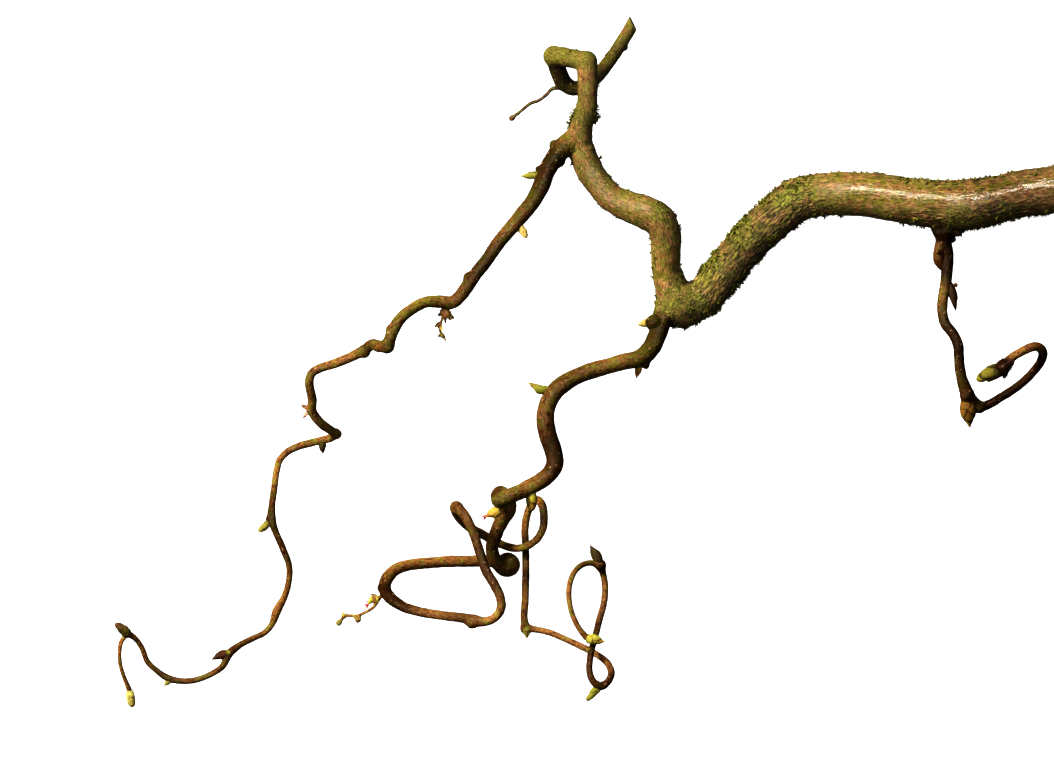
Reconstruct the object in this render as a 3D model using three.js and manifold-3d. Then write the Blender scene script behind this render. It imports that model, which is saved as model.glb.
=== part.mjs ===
// A cut branch of corkscrew hazel, lying on a flat surface.
// Millimetres, +Z up. The limb's cut end is at +X and the twig tips are at -X.
// The origin is on the surface, under the middle of the branch's bounding box.
import * as THREE from "three";
import { mergeVertices } from "three/addons/utils/BufferGeometryUtils.js";
import Module from "manifold-3d";

const wasm = await Module();
wasm.setup();
const { Manifold, Mesh: SolidMesh } = wasm;

// Driving dimensions.
const LIMB_THICKNESS = 16; // at the pruned end
const FLAT_DEPTH = 0.35; // how much the three resting spots are worn flat
const TURN_LIMIT = THREE.MathUtils.degToRad(20); // most that a shoot bends between two rings
const FINE_STEP = 0.3; // spacing at which a centreline is read
const RING_GAP = 2.2; // most thicknesses between two rings

// Where the branch touches the surface, the centreline is this far under its own radius.
const restHeight = (thickness) => thickness / 2 - FLAT_DEPTH;

// Centrelines. Each stop is [x, y, z, thickness].
const LIMB = [
  [170.3, 61.8, restHeight(LIMB_THICKNESS), LIMB_THICKNESS],
  [161.3, 60.3, restHeight(LIMB_THICKNESS), LIMB_THICKNESS],
  [153, 59, 7.9, 15.9],
  [144.3, 57.8, 8.3, 15.9],
  [133, 56.2, 9.4, 15.4],
  [126.3, 54.7, 10.3, 15.8],
  [118, 53.1, 11.5, 16.4],
  [108.7, 52.8, 12.5, 16.2],
  [99.7, 53.4, 13.2, 15.5],
  [86.3, 55.5, 14, 14.8],
  [76.3, 56.4, 14, 14.4],
  [66.3, 56.2, 13.8, 14.2],
  [58.7, 54.3, 13.2, 14.2],
  [54, 51, 12.6, 14],
  [49.3, 46.8, 12, 13.9],
  [40.7, 38.3, 10.5, 13.3],
  [33.3, 29, 8.8, 12.8],
  [27, 21.7, 7.4, 13],
  [21, 19, 6.9, 13.2],
  [16.7, 18.2, 7.4, 11.6],
];

const STEM = [
  [19.4, 19.3, 7.6, 12.9],
  [17.1, 25, 9, 10.9],
  [15.2, 31, 11, 9.7],
  [15, 37.7, 13.5, 9.8],
  [14.9, 42.5, 15.5, 10.3],
  [12.9, 47.3, 17, 11],
  [8.3, 50.1, 17.6, 10.7],
  [3, 52, 17, 10],
  [-3.1, 55, 15.5, 9.3],
  [-7.2, 59.5, 14, 9],
  [-10.6, 64.5, 12.8, 9.1],
  [-13, 70.3, 13, 9.1],
  [-13.8, 74.8, 14, 8.2],
  [-13, 79.7, 15.3, 7.6],
  [-11.4, 85.3, 16.5, 6.9],
  [-11.2, 91, 17, 6.7],
  [-11.3, 96.3, 16.6, 6.6],
  [-11.5, 100.2, 15.8, 6.4],
];

// The top shoot leaves the stem at a right angle, turns under itself and comes out behind it.
const CROOK = [
  [-11.5, 100.2, 15.8, 6.5],
  [-15.3, 101.2, 14.5, 6.5],
  [-19.7, 102.2, 12.8, 6.2],
  [-22.3, 102.4, 10.2, 6.2],
];
const CROOK_TAIL = [
  [-22.3, 102.3, 9.6, 5.75],
  [-20.4, 96.2, 5.8, 5.75],
  [-18.9, 93.4, 4, 5.55],
  [-16.2, 91.8, 2.9, 5.05],
  [-11.3, 92.7, restHeight(4.4), 4.4],
  [-7.7, 96, 2.7, 4.65],
  [-3.7, 101, 5.2, 4.45],
  [-0.3, 106, 7.8, 4.35],
  [3.3, 112, 10.5, 4.25],
  [5.6, 116, 12.2, 4.25],
];
const DEAD_STALK = [
  [-20.5, 92, 3.6, 1.6],
  [-23, 91.4, 3.8, 1.3],
  [-25, 89.4, 4.2, 1.2],
  [-27.6, 87.5, 4.6, 1.2],
  [-30, 86.7, 4.8, 1.2],
  [-33.7, 83.8, 4.3, 1.1],
  [-36.3, 81.8, 3.8, 1.2],
];

// The long left twig, in the stretches between its sharp kinks.
const TWIG_UPPER = [
  [-13.8, 75.2, 14, 7.5],
  [-18.1, 72.8, 14.6, 7.1],
  [-22, 68.4, 15.8, 6.4],
  [-24.7, 64, 17.2, 5.8],
  [-26.4, 59.7, 18.8, 5.9],
  [-28.8, 54.7, 21, 5.4],
  [-34.3, 47.7, 24.5, 5],
  [-40, 41, 27.5, 4.6],
  [-44.7, 34.3, 30, 4.4],
  [-49.7, 27.8, 32, 4.5],
  [-53.3, 22.6, 33, 4.4],
  [-56.3, 20.2, 33.4, 4.4],
  [-60.3, 20.4, 34.6, 4.3],
  [-65.3, 20.1, 37, 3.8],
  [-70, 17.6, 40, 3.8],
  [-74, 14, 43, 3.9],
  [-76.4, 9.3, 44, 4],
  [-77.8, 5.5, 43, 4.1],
];
const TWIG_MIDDLE = [
  [-77.8, 5.5, 42.8, 4],
  [-80.3, 5.5, 41, 4],
  [-82.8, 6.1, 39, 3.7],
  [-85.5, 4.3, 37, 3.6],
  [-90.3, 1.8, 35, 3.3],
  [-95.3, -0.2, 35.5, 3.2],
  [-100.3, -1.8, 36.2, 3],
  [-103, -3.7, 36.2, 3],
  [-103.7, -6.7, 35.5, 3],
  [-102.8, -12, 32, 3.1],
  [-102.7, -16.3, 28.5, 3.2],
  [-100, -20, 25, 3.1],
  [-96.4, -22.6, 20.5, 3],
  [-95, -23.6, 17.8, 3],
];
const TWIG_LOWER = [
  [-95, -23.6, 17.4, 2.8],
  [-96.9, -25, 15, 2.8],
  [-100.3, -25.9, 14, 2.6],
  [-103.7, -26.7, 14, 2.64],
  [-107.3, -27.7, 14.5, 2.52],
  [-111, -29.5, 15.5, 2.4],
  [-113.7, -32.3, 17, 2.28],
  [-114.8, -36.3, 19.5, 2.28],
  [-115.5, -41.7, 22.5, 2.28],
  [-116.2, -47, 25.5, 2.28],
  [-116.3, -52, 27.5, 3.12],
  [-115.2, -55.7, 28, 2.28],
  [-112.5, -62, 27, 2.28],
  [-110.5, -67.7, 24.5, 2.16],
  [-110.7, -73, 21.5, 2.16],
  [-112.2, -78, 18.5, 2.28],
  [-114.7, -82.7, 17, 3.12],
  [-116.3, -87, 16, 2.16],
  [-118.7, -89.8, 16.4, 2.04],
  [-122.7, -91.8, 18, 2.04],
  [-127, -94, 20.5, 2.16],
  [-130.7, -97, 22.5, 3],
  [-132.7, -101, 22.8, 2.16],
  [-136.7, -103.7, 21.3, 2.04],
  [-141.7, -105.6, 19.3, 2.04],
  [-146.3, -106, 17.8, 2.04],
  [-151, -105, 17, 2.4],
  [-154.7, -102.5, 17, 1.92],
  [-157.7, -99.6, 18, 1.92],
  [-159.7, -94.7, 20.5, 1.8],
  [-162.3, -91.3, 23, 1.92],
  [-164.7, -90, 24.5, 2.64],
];
const TWIG_TIP = [
  [-164.4, -90.2, 24.3, 1.82],
  [-166.4, -92.8, 24, 1.54],
  [-167, -96.3, 23, 1.4],
  [-166.8, -100.3, 21, 1.4],
  [-165.5, -104.7, 18.5, 1.4],
  [-163.7, -109.3, 15.5, 1.82],
];

// The lower shoot, which coils on itself. Its stretches meet at the tightest turns.
const SHOOT_UPPER = [
  [18.3, 19, 8, 7.2],
  [13.8, 14.4, 10, 7],
  [12.3, 9.7, 12, 6.4],
  [10.3, 5.3, 14, 6.2],
  [6.6, 1.8, 16.5, 6.1],
  [1, 0.4, 19, 5.5],
  [-5.3, -1.3, 21, 5.4],
  [-12, -3.3, 23, 5.5],
  [-17.7, -6, 25, 5.7],
  [-22, -9.4, 26.5, 5.8],
  [-24.5, -14, 27.5, 5.9],
  [-25.3, -19, 28, 6],
  [-24.2, -24.3, 28, 6],
  [-22.5, -29.7, 28, 6],
  [-22.1, -33.6, 28.3, 5.9],
  [-24, -37, 29, 5.7],
  [-28, -40, 30.5, 5.6],
  [-33, -42.6, 32.5, 5.3],
  [-37.5, -44.2, 34.5, 5.3],
  [-39.8, -44.9, 35, 5],
];
const SHOOT_DROP = [
  [-39.6, -45, 34, 5.6],
  [-37.8, -46.6, 29.4, 6],
  [-38, -49.3, 25.5, 5.7],
  [-40, -53, 22.5, 5],
  [-41.8, -57.3, 20, 4.5],
  [-43, -61.7, 18, 4.4],
  [-42.2, -65.2, 16.6, 4.7],
  [-39.6, -67.6, 14, 5.4],
  [-37.8, -67.3, 12, 5.8],
];
const SHOOT_BOW = [
  [-37.8, -67, 10, 5.7],
  [-41.3, -66.3, 5.6, 4.5],
  [-45, -66, 4.2, 3.9],
  [-50.3, -66.1, 4.6, 3.85],
  [-57, -66.2, 7, 3.85],
  [-64.3, -66.7, 10.5, 3.75],
  [-70.4, -67.3, 14, 3.85],
  [-75.3, -69, 17.5, 4.05],
  [-78, -72, 20.5, 4.25],
  [-78.7, -75.3, 23, 4.35],
  [-76.7, -78.3, 25.5, 4],
  [-72.3, -81.2, 28, 3.5],
  [-67, -82.8, 30, 3.2],
  [-59.7, -84, 32, 3.1],
  [-53, -84.8, 33, 3.3],
  [-49, -85.7, 33.5, 4.2],
  [-45.3, -86, 34, 3.1],
  [-42, -84.7, 35, 3],
  [-40, -81.7, 35.6, 3.1],
  [-40.2, -78, 36, 3.1],
  [-42.2, -73.7, 35.5, 3.2],
  [-45, -69, 34.5, 3.2],
  [-47, -63, 33.5, 3.2],
  [-49, -57, 33, 3.2],
  [-51.3, -52, 32.5, 3.3],
  [-53.8, -48.7, 31, 3.5],
  [-54.8, -48.2, 29.7, 3.6],
];
const SHOOT_RING = [
  [-54.8, -48.2, 29.4, 3.65],
  [-54.7, -50, 26.5, 3.55],
  [-52.7, -52.7, 23, 3.25],
  [-49.7, -55.3, 19, 3.15],
  [-46, -57.2, 15, 3.05],
  [-42.7, -59.2, 12.5, 2.95],
  [-39.3, -60.7, 13, 2.75],
  [-35.7, -61.7, 15.5, 2.65],
  [-31.7, -61.2, 19, 2.55],
  [-28, -58.7, 21.5, 2.55],
  [-26, -55, 22.5, 2.65],
  [-25.7, -51, 22.5, 2.75],
  [-26.3, -47.3, 21.5, 2.85],
  [-27.8, -45.7, 19, 2.85],
  [-29.7, -47, 16, 2.75],
  [-31.2, -50.3, 14, 2.65],
  [-32, -55, 13, 2.55],
  [-31.8, -61, 13.3, 2.45],
  [-31.7, -67, 14.5, 2.45],
  [-31.8, -73.7, 17.5, 2.45],
  [-32, -80, 21, 2.45],
  [-32.3, -85, 23.5, 2.55],
  [-31.7, -88.4, 25, 2.95],
];
const SHOOT_CURL = [
  [-31.9, -88.4, 25, 2.6],
  [-28, -88.8, 25.7, 2.2],
  [-23.7, -89.8, 27, 2.1],
  [-17.7, -92.3, 28, 2.1],
  [-12, -95, 28.5, 2.2],
  [-7.7, -97.3, 29.3, 2.2],
  [-4.7, -99.7, 31, 2.3],
  [-3.3, -102.7, 33, 2.4],
  [-4.2, -105.7, 34.8, 2.4],
  [-6.7, -107.5, 36, 2.9],
  [-9.2, -106, 36.8, 2.4],
  [-10.5, -102.7, 36.8, 2.2],
  [-10.4, -98.7, 35.8, 2.2],
  [-9.7, -95, 34, 2.2],
  [-8.5, -90.7, 31, 2.2],
  [-7.2, -85.3, 28, 2.3],
  [-5.8, -80.3, 26.5, 2.2],
  [-5.3, -75.3, 26.5, 2.2],
  [-5.8, -71, 27.5, 2.2],
  [-7, -68, 28.8, 2.6],
  [-9.7, -66.6, 30.5, 2],
  [-13, -67.2, 33, 1.9],
  [-15.7, -69.8, 35.3, 1.9],
  [-17.2, -74, 37.3, 1.9],
  [-17.3, -78.7, 38, 1.8],
  [-16.2, -83.7, 38, 1.8],
  [-13.7, -88.7, 37.3, 1.9],
  [-11.3, -91.5, 36.5, 2.3],
];

// The twig that springs from the limb's near side.
const SPUR_UPPER = [
  [108.3, 49.7, 11, 6.05],
  [107.7, 43.7, 10, 5.55],
  [108.2, 39.4, 9.6, 4.45],
  [109, 35.7, 9.4, 4],
  [108.7, 31, 9.6, 3.9],
  [108.2, 26, 10, 3.8],
  [107.3, 21, 10.6, 3.55],
  [107.2, 16.7, 11.3, 3.55],
  [108.2, 13, 12, 3.55],
  [110.7, 9.7, 12.6, 3.55],
  [112.3, 6.3, 13, 3.55],
  [112.7, 1.7, 12.8, 3.45],
  [113.3, -3.7, 12, 3.55],
  [115, -9, 10.8, 4.45],
  [117, -12.3, 9.6, 4.05],
  [119.4, -14.6, 8.3, 3.55],
];
const SPUR_HOOK = [
  [119.2, -14.6, 8.3, 3.3],
  [121.7, -14.2, 7.6, 3.1],
  [127, -11.3, 6.6, 2.9],
  [132.7, -7.5, 6.8, 2.9],
  [137, -3.5, 8.6, 2.9],
  [140.2, 1, 11.8, 3.1],
  [140.4, 4.2, 14.8, 3.2],
  [138, 5.5, 16.8, 3.1],
  [134.3, 4.2, 18, 3],
  [130.3, 1.8, 18.6, 2.9],
  [127.6, -1.2, 18.3, 4.2],
];

// Two dead flower stalks, the first by the twig's kink and the second on the bow.
const DRY_STALK = [
  [-59, 19.5, 34, 1.5],
  [-58.8, 16.7, 33.5, 1.2],
  [-59.8, 14, 33, 0.9],
  [-60.3, 11.3, 32.5, 0.9],
  [-59.6, 8.8, 32, 1],
];
const FLOWER_STALK = [
  [-78, -75.7, 23, 1.4],
  [-80.7, -78.6, 23.5, 1.2],
  [-82.4, -81.3, 23.5, 1.1],
  [-85.7, -83.3, 23, 1],
  [-88, -84.2, 22.5, 1.1],
  [-91.7, -84.3, 22, 1],
  [-94, -86.5, 21.5, 1.2],
];

// Every shoot, with as many sides as its thickness needs.
const SHOOTS = [
  [LIMB, 14],
  [STEM, 12],
  [CROOK, 10],
  [CROOK_TAIL, 9],
  [DEAD_STALK, 5],
  [TWIG_UPPER, 9],
  [TWIG_MIDDLE, 8],
  [TWIG_LOWER, 6],
  [TWIG_TIP, 5],
  [SHOOT_UPPER, 10],
  [SHOOT_DROP, 9],
  [SHOOT_BOW, 8],
  [SHOOT_RING, 7],
  [SHOOT_CURL, 6],
  [SPUR_UPPER, 8],
  [SPUR_HOOK, 8],
  [DRY_STALK, 5],
  [FLOWER_STALK, 5],
];

// Round swellings: the limb's elbow, the sharp turns, and old scars and dead knobs.
// Each is [x, y, z, thickness].
const ELBOW = [20.3, 19.7, restHeight(15), 15];
const KNUCKLES = [
  [-11.5, 100.2, 15.8, 6.6],
  [-22.3, 102.3, 9.9, 6.3],
  [-77.8, 5.6, 42.9, 4.1],
  [-95, -23.6, 17.6, 3.1],
  [-39.8, -44.9, 34.6, 6.8],
  [-37.7, -67.3, 11.6, 8.2],
  [-54.8, -48.3, 29.5, 3.9],
  [-31.8, -88.4, 25, 2.9],
  [119.3, -14.7, 8.3, 3.6],
  [107.6, 44.8, 10, 7.8],
  [112, 46.2, 10.4, 4.2],
];
const KNOBS = [
  [-27.5, 64.6, 17.6, 2],
  [-20.2, 66.9, 15.6, 2.8],
  [-22.6, 73, 15.2, 2.4],
  [-51.6, 29.1, 32.2, 2.8],
  [8.3, -0.8, 15.6, 2.4],
  [-49.7, -86.9, 33.4, 2.9],
  [-77.6, 11.6, 43.4, 2.5],
  [-85.3, 3.1, 37, 2.8],
  [-104.2, -15, 29.5, 1.8],
  [-8.7, 81.3, 15.4, 2.4],
  [1.5, 105.2, 7.6, 1.7],
  [-36.4, 81.7, 3.8, 1.8],
  [-117.3, -52, 27.5, 1.9],
  [-7.1, -65.9, 29, 2],
  [-80.1, -75, 22.8, 1.7],
  [-57.9, 16.1, 33.4, 2.6],
  [-59.6, 17, 33.4, 1.7],
  [-60.8, 12.6, 32.8, 1.6],
  [-59.4, 9.2, 32, 1.4],
  [-82, -78.6, 23.6, 2.4],
  [-87.6, -85.5, 22.4, 2.1],
  [-92.3, -84.2, 22, 1.4],
  [-94, -86.6, 21.5, 1.7],
];

// Buds, each from its base, sunk in the wood, to its tip, with its width.
const BUDS = [
  { base: [-26.8, 63, 18], tip: [-33.7, 62.3, 18.6], width: 2.4 },
  { base: [-35, 46.6, 24.4], tip: [-31.3, 41.6, 24], width: 2.7 },
  { base: [11.3, 14.2, 10.8], tip: [5.8, 12.7, 11], width: 2.8 },
  { base: [6, 0.4, 16.2], tip: [5, -5.3, 15.6], width: 2.3 },
  { base: [-23.7, -9.2, 26.6], tip: [-31, -6.3, 27.4], width: 3.1 },
  { base: [-39.5, -47.6, 33], tip: [-45.4, -51, 33], width: 3.8 },
  { base: [-30.1, -42.2, 30.6], tip: [-29.4, -50, 26], width: 2.9 },
  { base: [-31.6, -88, 25], tip: [-31.3, -91.8, 25.4], width: 2.5 },
  { base: [-6.7, -107.4, 36], tip: [-11, -113, 35.2], width: 2.7 },
  { base: [-7, -67.2, 29], tip: [-10.4, -60.6, 30.6], width: 2.7 },
  { base: [-11.6, -91.4, 36.5], tip: [-5.7, -92.6, 36.6], width: 4 },
  { base: [-99.7, -25.8, 14], tip: [-99.3, -30.4, 13.6], width: 2.4 },
  { base: [-116.5, -52.4, 27.6], tip: [-120.4, -56.3, 27.8], width: 2.3 },
  { base: [-130.4, -96.8, 22.5], tip: [-136.4, -98.8, 22.8], width: 2.7 },
  { base: [-149.8, -105.2, 17], tip: [-152, -106.9, 16.8], width: 1.9 },
  { base: [-163.7, -90.6, 24.3], tip: [-168.6, -86.4, 27], width: 3 },
  { base: [-163.8, -109, 15.7], tip: [-162.7, -115, 12.5], width: 3.1 },
  { base: [128.2, -1.8, 18.4], tip: [118.4, -5.4, 16], width: 4.8 },
  { base: [115.3, -11.6, 10.4], tip: [116.4, -21.7, 8.8], width: 4.7 },
  { base: [109.5, 27.4, 9.8], tip: [111.7, 17.6, 9.2], width: 2.7 },
  { base: [106.4, 42.2, 9.9], tip: [105.9, 31.6, 9.8], width: 4.2 },
];
const BUD_SIDES = 7;
// Pairs of share of the bud's length and share of its width: each tier of scales ends in a step.
const BUD_OUTLINE = [
  [0, 0.62],
  [0.26, 0.98],
  [0.5, 1],
  [0.56, 0.86],
  [0.8, 0.6],
  [1, 0.13],
];
const SCALE_PAIR = 0.07; // how far each pair of scales stands out, as a share of the radius

// Flat ends: a clean slanted pruning cut on the limb, and the stub where the crook's tail broke.
const PRUNING_CUT = { at: [167.8, 61.4, 8], facing: [0.97, 0.12, 0.2], reach: 40 };
const BROKEN_END = { at: [4.4, 112.4, 10.8], facing: [0.9, 0.42, 0.14], reach: 12 };
const SURFACE = { at: [0, 0, 0], facing: [0, 0, -1], reach: 500 };

const vector = ([x, y, z]) => new THREE.Vector3(x, y, z);

// A closed geometry over a row of rings. A ring has its centre, its two cross directions and
// its radius as a function of the angle round it.
function skin(rings, sides) {
  // The corners stand out far enough for the faces to be as full as a round shoot.
  const fullness = 1 / Math.sqrt(Math.cos(Math.PI / sides));
  const corners = [];
  for (const { centre, across, up, radius } of rings) {
    for (let side = 0; side < sides; side += 1) {
      const angle = (2 * Math.PI * side) / sides;
      const reach = radius(angle) * fullness;
      const corner = centre
        .clone()
        .addScaledVector(across, reach * Math.cos(angle))
        .addScaledVector(up, reach * Math.sin(angle));
      corners.push(...corner.toArray());
    }
  }
  const last = rings.length - 1;
  const firstCap = rings.length * sides;
  corners.push(...rings[0].centre.toArray(), ...rings[last].centre.toArray());
  const faces = [];
  for (let side = 0; side < sides; side += 1) {
    const next = (side + 1) % sides;
    for (let ring = 0; ring < last; ring += 1) {
      const near = ring * sides;
      const far = near + sides;
      faces.push(near + side, near + next, far + side);
      faces.push(near + next, far + next, far + side);
    }
    faces.push(firstCap, next, side);
    faces.push(firstCap + 1, last * sides + side, last * sides + next);
  }
  const geometry = new THREE.BufferGeometry();
  geometry.setAttribute("position", new THREE.Float32BufferAttribute(corners, 3));
  geometry.setIndex(faces);
  return geometry;
}

// The radius at a share of a centreline, between the two stops that it lies between.
function radiusBetween(stops, share) {
  const place = share * (stops.length - 1);
  const before = Math.min(Math.floor(place), stops.length - 2);
  return THREE.MathUtils.lerp(stops[before][3], stops[before + 1][3], place - before) / 2;
}

// A tapered round shoot. Its rings stand closer together where it bends.
function shootGeometry(stops, sides) {
  const path = new THREE.CatmullRomCurve3(stops.map(vector));
  path.arcLengthDivisions = 1500;
  const steps = Math.ceil(path.getLength() / FINE_STEP);
  const { tangents, normals, binormals } = path.computeFrenetFrames(steps, false);
  const radiusAt = (step) => radiusBetween(stops, path.getUtoTmapping(step / steps));
  const kept = [0];
  for (let step = 1; step < steps; step += 1) {
    const since = kept.at(-1);
    const turned = tangents[step].angleTo(tangents[since]) > TURN_LIMIT;
    const far = (step - since) * FINE_STEP > RING_GAP * 2 * radiusAt(step);
    if (turned || far) kept.push(step);
  }
  kept.push(steps);
  const rings = kept.map((step) => ({
    centre: path.getPointAt(step / steps),
    across: normals[step],
    up: binormals[step],
    radius: () => radiusAt(step),
  }));
  return skin(rings, sides);
}

// A pointed bud of overlapping scales in crossed pairs.
function budGeometry({ base, tip, width }) {
  const start = vector(base);
  const along = vector(tip).sub(start);
  const heading = along.clone().normalize();
  const across = new THREE.Vector3(0, 0, 1).cross(heading).normalize();
  const up = heading.clone().cross(across);
  const rings = BUD_OUTLINE.map(([share, girth], tier) => ({
    centre: start.clone().addScaledVector(along, share),
    across,
    up,
    radius: (angle) => {
      const lift = SCALE_PAIR * Math.cos(2 * angle + tier * Math.PI);
      return (width / 2) * girth * (1 + lift);
    },
  }));
  return skin(rings, BUD_SIDES);
}

function knobGeometry([x, y, z, thickness], detail) {
  return new THREE.IcosahedronGeometry(thickness / 2, detail).translate(x, y, z);
}

// A block whose near face passes through a point, to cut off all that lies beyond it.
function cutterGeometry({ at, facing, reach }) {
  const outward = vector(facing).normalize();
  const turn = new THREE.Quaternion().setFromUnitVectors(new THREE.Vector3(0, 0, 1), outward);
  const centre = vector(at).addScaledVector(outward, reach / 2);
  return new THREE.BoxGeometry(reach, reach, reach)
    .applyQuaternion(turn)
    .translate(centre.x, centre.y, centre.z);
}

function solidOf(geometry) {
  const bare = geometry.clone();
  bare.deleteAttribute("normal");
  bare.deleteAttribute("uv");
  const merged = mergeVertices(bare);
  return new Manifold(
    new SolidMesh({
      numProp: 3,
      vertProperties: new Float32Array(merged.attributes.position.array),
      triVerts: new Uint32Array(merged.index.array),
    }),
  );
}

function geometryOf(solid) {
  const { vertProperties, triVerts } = solid.getMesh();
  const geometry = new THREE.BufferGeometry();
  geometry.setAttribute("position", new THREE.Float32BufferAttribute(vertProperties, 3));
  geometry.setIndex(Array.from(triVerts));
  geometry.computeVertexNormals();
  return geometry;
}

function branchGeometry() {
  const grown = [
    ...SHOOTS.map(([stops, sides]) => shootGeometry(stops, sides)),
    ...KNUCKLES.map((knuckle) => knobGeometry(knuckle, 1)),
    knobGeometry(ELBOW, 4),
    ...KNOBS.map((knob) => knobGeometry(knob, 0)),
    ...BUDS.map(budGeometry),
  ];
  const whole = grown.map(solidOf).reduce((sum, piece) => sum.add(piece));
  const cuts = [PRUNING_CUT, BROKEN_END, SURFACE].map(cutterGeometry).map(solidOf);
  return geometryOf(cuts.reduce((rest, cut) => rest.subtract(cut), whole));
}

const bark = new THREE.MeshStandardMaterial({
  color: 0x6e652c,
  roughness: 0.55,
  metalness: 0,
});

const branch = new THREE.Mesh(branchGeometry(), bark);
branch.name = "branch";

const group = new THREE.Group();
group.add(branch);
export default group;
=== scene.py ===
import bmesh
import bpy
import numpy as np
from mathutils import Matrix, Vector


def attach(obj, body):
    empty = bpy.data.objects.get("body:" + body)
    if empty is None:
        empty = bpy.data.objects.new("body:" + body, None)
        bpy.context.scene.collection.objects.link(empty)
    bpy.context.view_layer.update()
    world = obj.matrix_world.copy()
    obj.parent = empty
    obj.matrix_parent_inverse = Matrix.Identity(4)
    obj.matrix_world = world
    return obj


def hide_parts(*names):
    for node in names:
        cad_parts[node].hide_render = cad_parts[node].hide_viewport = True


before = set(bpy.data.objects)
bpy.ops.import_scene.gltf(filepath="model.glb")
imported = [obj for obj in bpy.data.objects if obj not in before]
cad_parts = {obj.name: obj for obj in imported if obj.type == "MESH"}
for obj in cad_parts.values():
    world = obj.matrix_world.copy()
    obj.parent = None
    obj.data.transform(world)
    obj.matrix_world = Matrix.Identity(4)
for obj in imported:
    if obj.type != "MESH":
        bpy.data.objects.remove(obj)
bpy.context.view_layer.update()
mm = 0.001
chance = np.random.default_rng(20)


def unit(v):
    v = np.asarray(v, float)
    return v / np.maximum(np.linalg.norm(v, axis=-1, keepdims=True), 1e-12)


def fade(low, high, value):
    share = np.clip((value - low) / (high - low), 0, 1)
    return share * share * (3 - 2 * share)


# Gradient noise for shapes, from about -1 to 1.
shuffled = chance.permutation(256)
arrows = unit(chance.normal(size=(256, 3)))


def noise(points):
    cell = np.floor(points).astype(int)
    part = points - cell
    ease = part * part * part * (part * (part * 6 - 15) + 10)
    total = np.zeros(len(points))
    for step in np.ndindex(2, 2, 2):  # the corners of the cell
        spot = shuffled[(cell[:, 0] + step[0]) & 255]
        spot = shuffled[(spot + cell[:, 1] + step[1]) & 255]
        spot = shuffled[(spot + cell[:, 2] + step[2]) & 255]
        reach = ((part - step) * arrows[spot]).sum(1)
        total += np.where(step, ease, 1 - ease).prod(1) * reach
    return total * 1.5


def fractal(points, octaves=3):
    total, size, most = np.zeros(len(points)), 1.0, 0.0
    for octave in range(octaves):
        total += size * noise(points * 2 ** octave + 17.3 * octave)
        most += size
        size *= 0.5
    return total / most


def shown(name, data):
    # A new object in the scene.
    made = bpy.data.objects.new(name, data)
    bpy.context.scene.collection.objects.link(made)
    return made


def fill(node, inputs):
    # Links or sets a node's inputs.
    for socket, given in inputs.items():
        if isinstance(given, bpy.types.NodeSocket):
            node.id_data.links.new(given, node.inputs[socket])
        else:
            node.inputs[socket].default_value = given
    return node


def addNode(tree, kind, inputs=None, **settings):
    node = tree.nodes.new("ShaderNode" + kind)
    for word, setting in settings.items():
        setattr(node, word, setting)
    return fill(node, inputs or {})


def newPaint(name):
    paint = bpy.data.materials.new(name)
    paint.use_nodes = True
    return paint, paint.node_tree


def finishPaint(paint, inputs):
    fill(paint.node_tree.nodes["Principled BSDF"], inputs)
    return paint


# Camera, floor and light: metres and watts, but millimetres where it is said.
view = {
    "centre": (-31.33, -5.33, 14),  # mm, the middle of the picture
    "width": 351.33,  # mm, what the picture is wide
    "distance": 10,  # far enough for next to no perspective
    "sensor": 36.0,
    "nearest": 0.5, "farthest": 60,
}
studio = {
    "floorSide": 9.0, "floorDrop": 0.00003,  # just under the surface, so that nothing flickers
    "floorColour": (0.35, 0.35, 0.35, 1), "floorGlow": 0.93, "floorRough": 0.9, "floorShine": 0.1,
    "keyFrom": (-1.36, 1.17, 1.42), "keySize": 0.9, "keyPower": 128,
    "strips": [  # place, length and power of each
        ((0.26, 1.12, 1.64), 0.9, 34), ((-1.35, 0.1, 1.5), 1.0, 28), ((-0.22, 0.42, 1.6), 0.4, 9)],
    "stripSize": 0.1, "stripColour": (1, 0.88, 0.76),
    "fillFrom": (-0.1, 0.3, 2.6), "fillSize": 1.6, "fillPower": 13,
    "air": 0.075, "airColour": (0.9, 0.95, 1, 1),
}
white = (1, 1, 1, 1)


def makeCamera():
    lens = bpy.data.cameras.new("camera")
    lens.type = "PERSP"
    lens.sensor_width = view["sensor"]
    lens.lens = view["sensor"] * view["distance"] / (view["width"] * mm)
    lens.clip_start, lens.clip_end = view["nearest"], view["farthest"]
    camera = shown("camera", lens)
    x, y, z = (value * mm for value in view["centre"])
    camera.location = (x, y, z + view["distance"])
    bpy.context.scene.camera = camera


def softLight(name, place, size, power, length=None, colour=white[:3]):
    lamp = bpy.data.lights.new(name, "AREA")
    lamp.color, lamp.energy = colour, power
    lamp.shape, lamp.size = "RECTANGLE" if length else "DISK", length or size
    if length:
        lamp.size_y = size
    light = shown(name, lamp)
    light.location = place
    light.rotation_euler = Vector(place).to_track_quat("Z", "Y").to_euler()  # long side along X
    light.visible_camera = False
    return light


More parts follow.
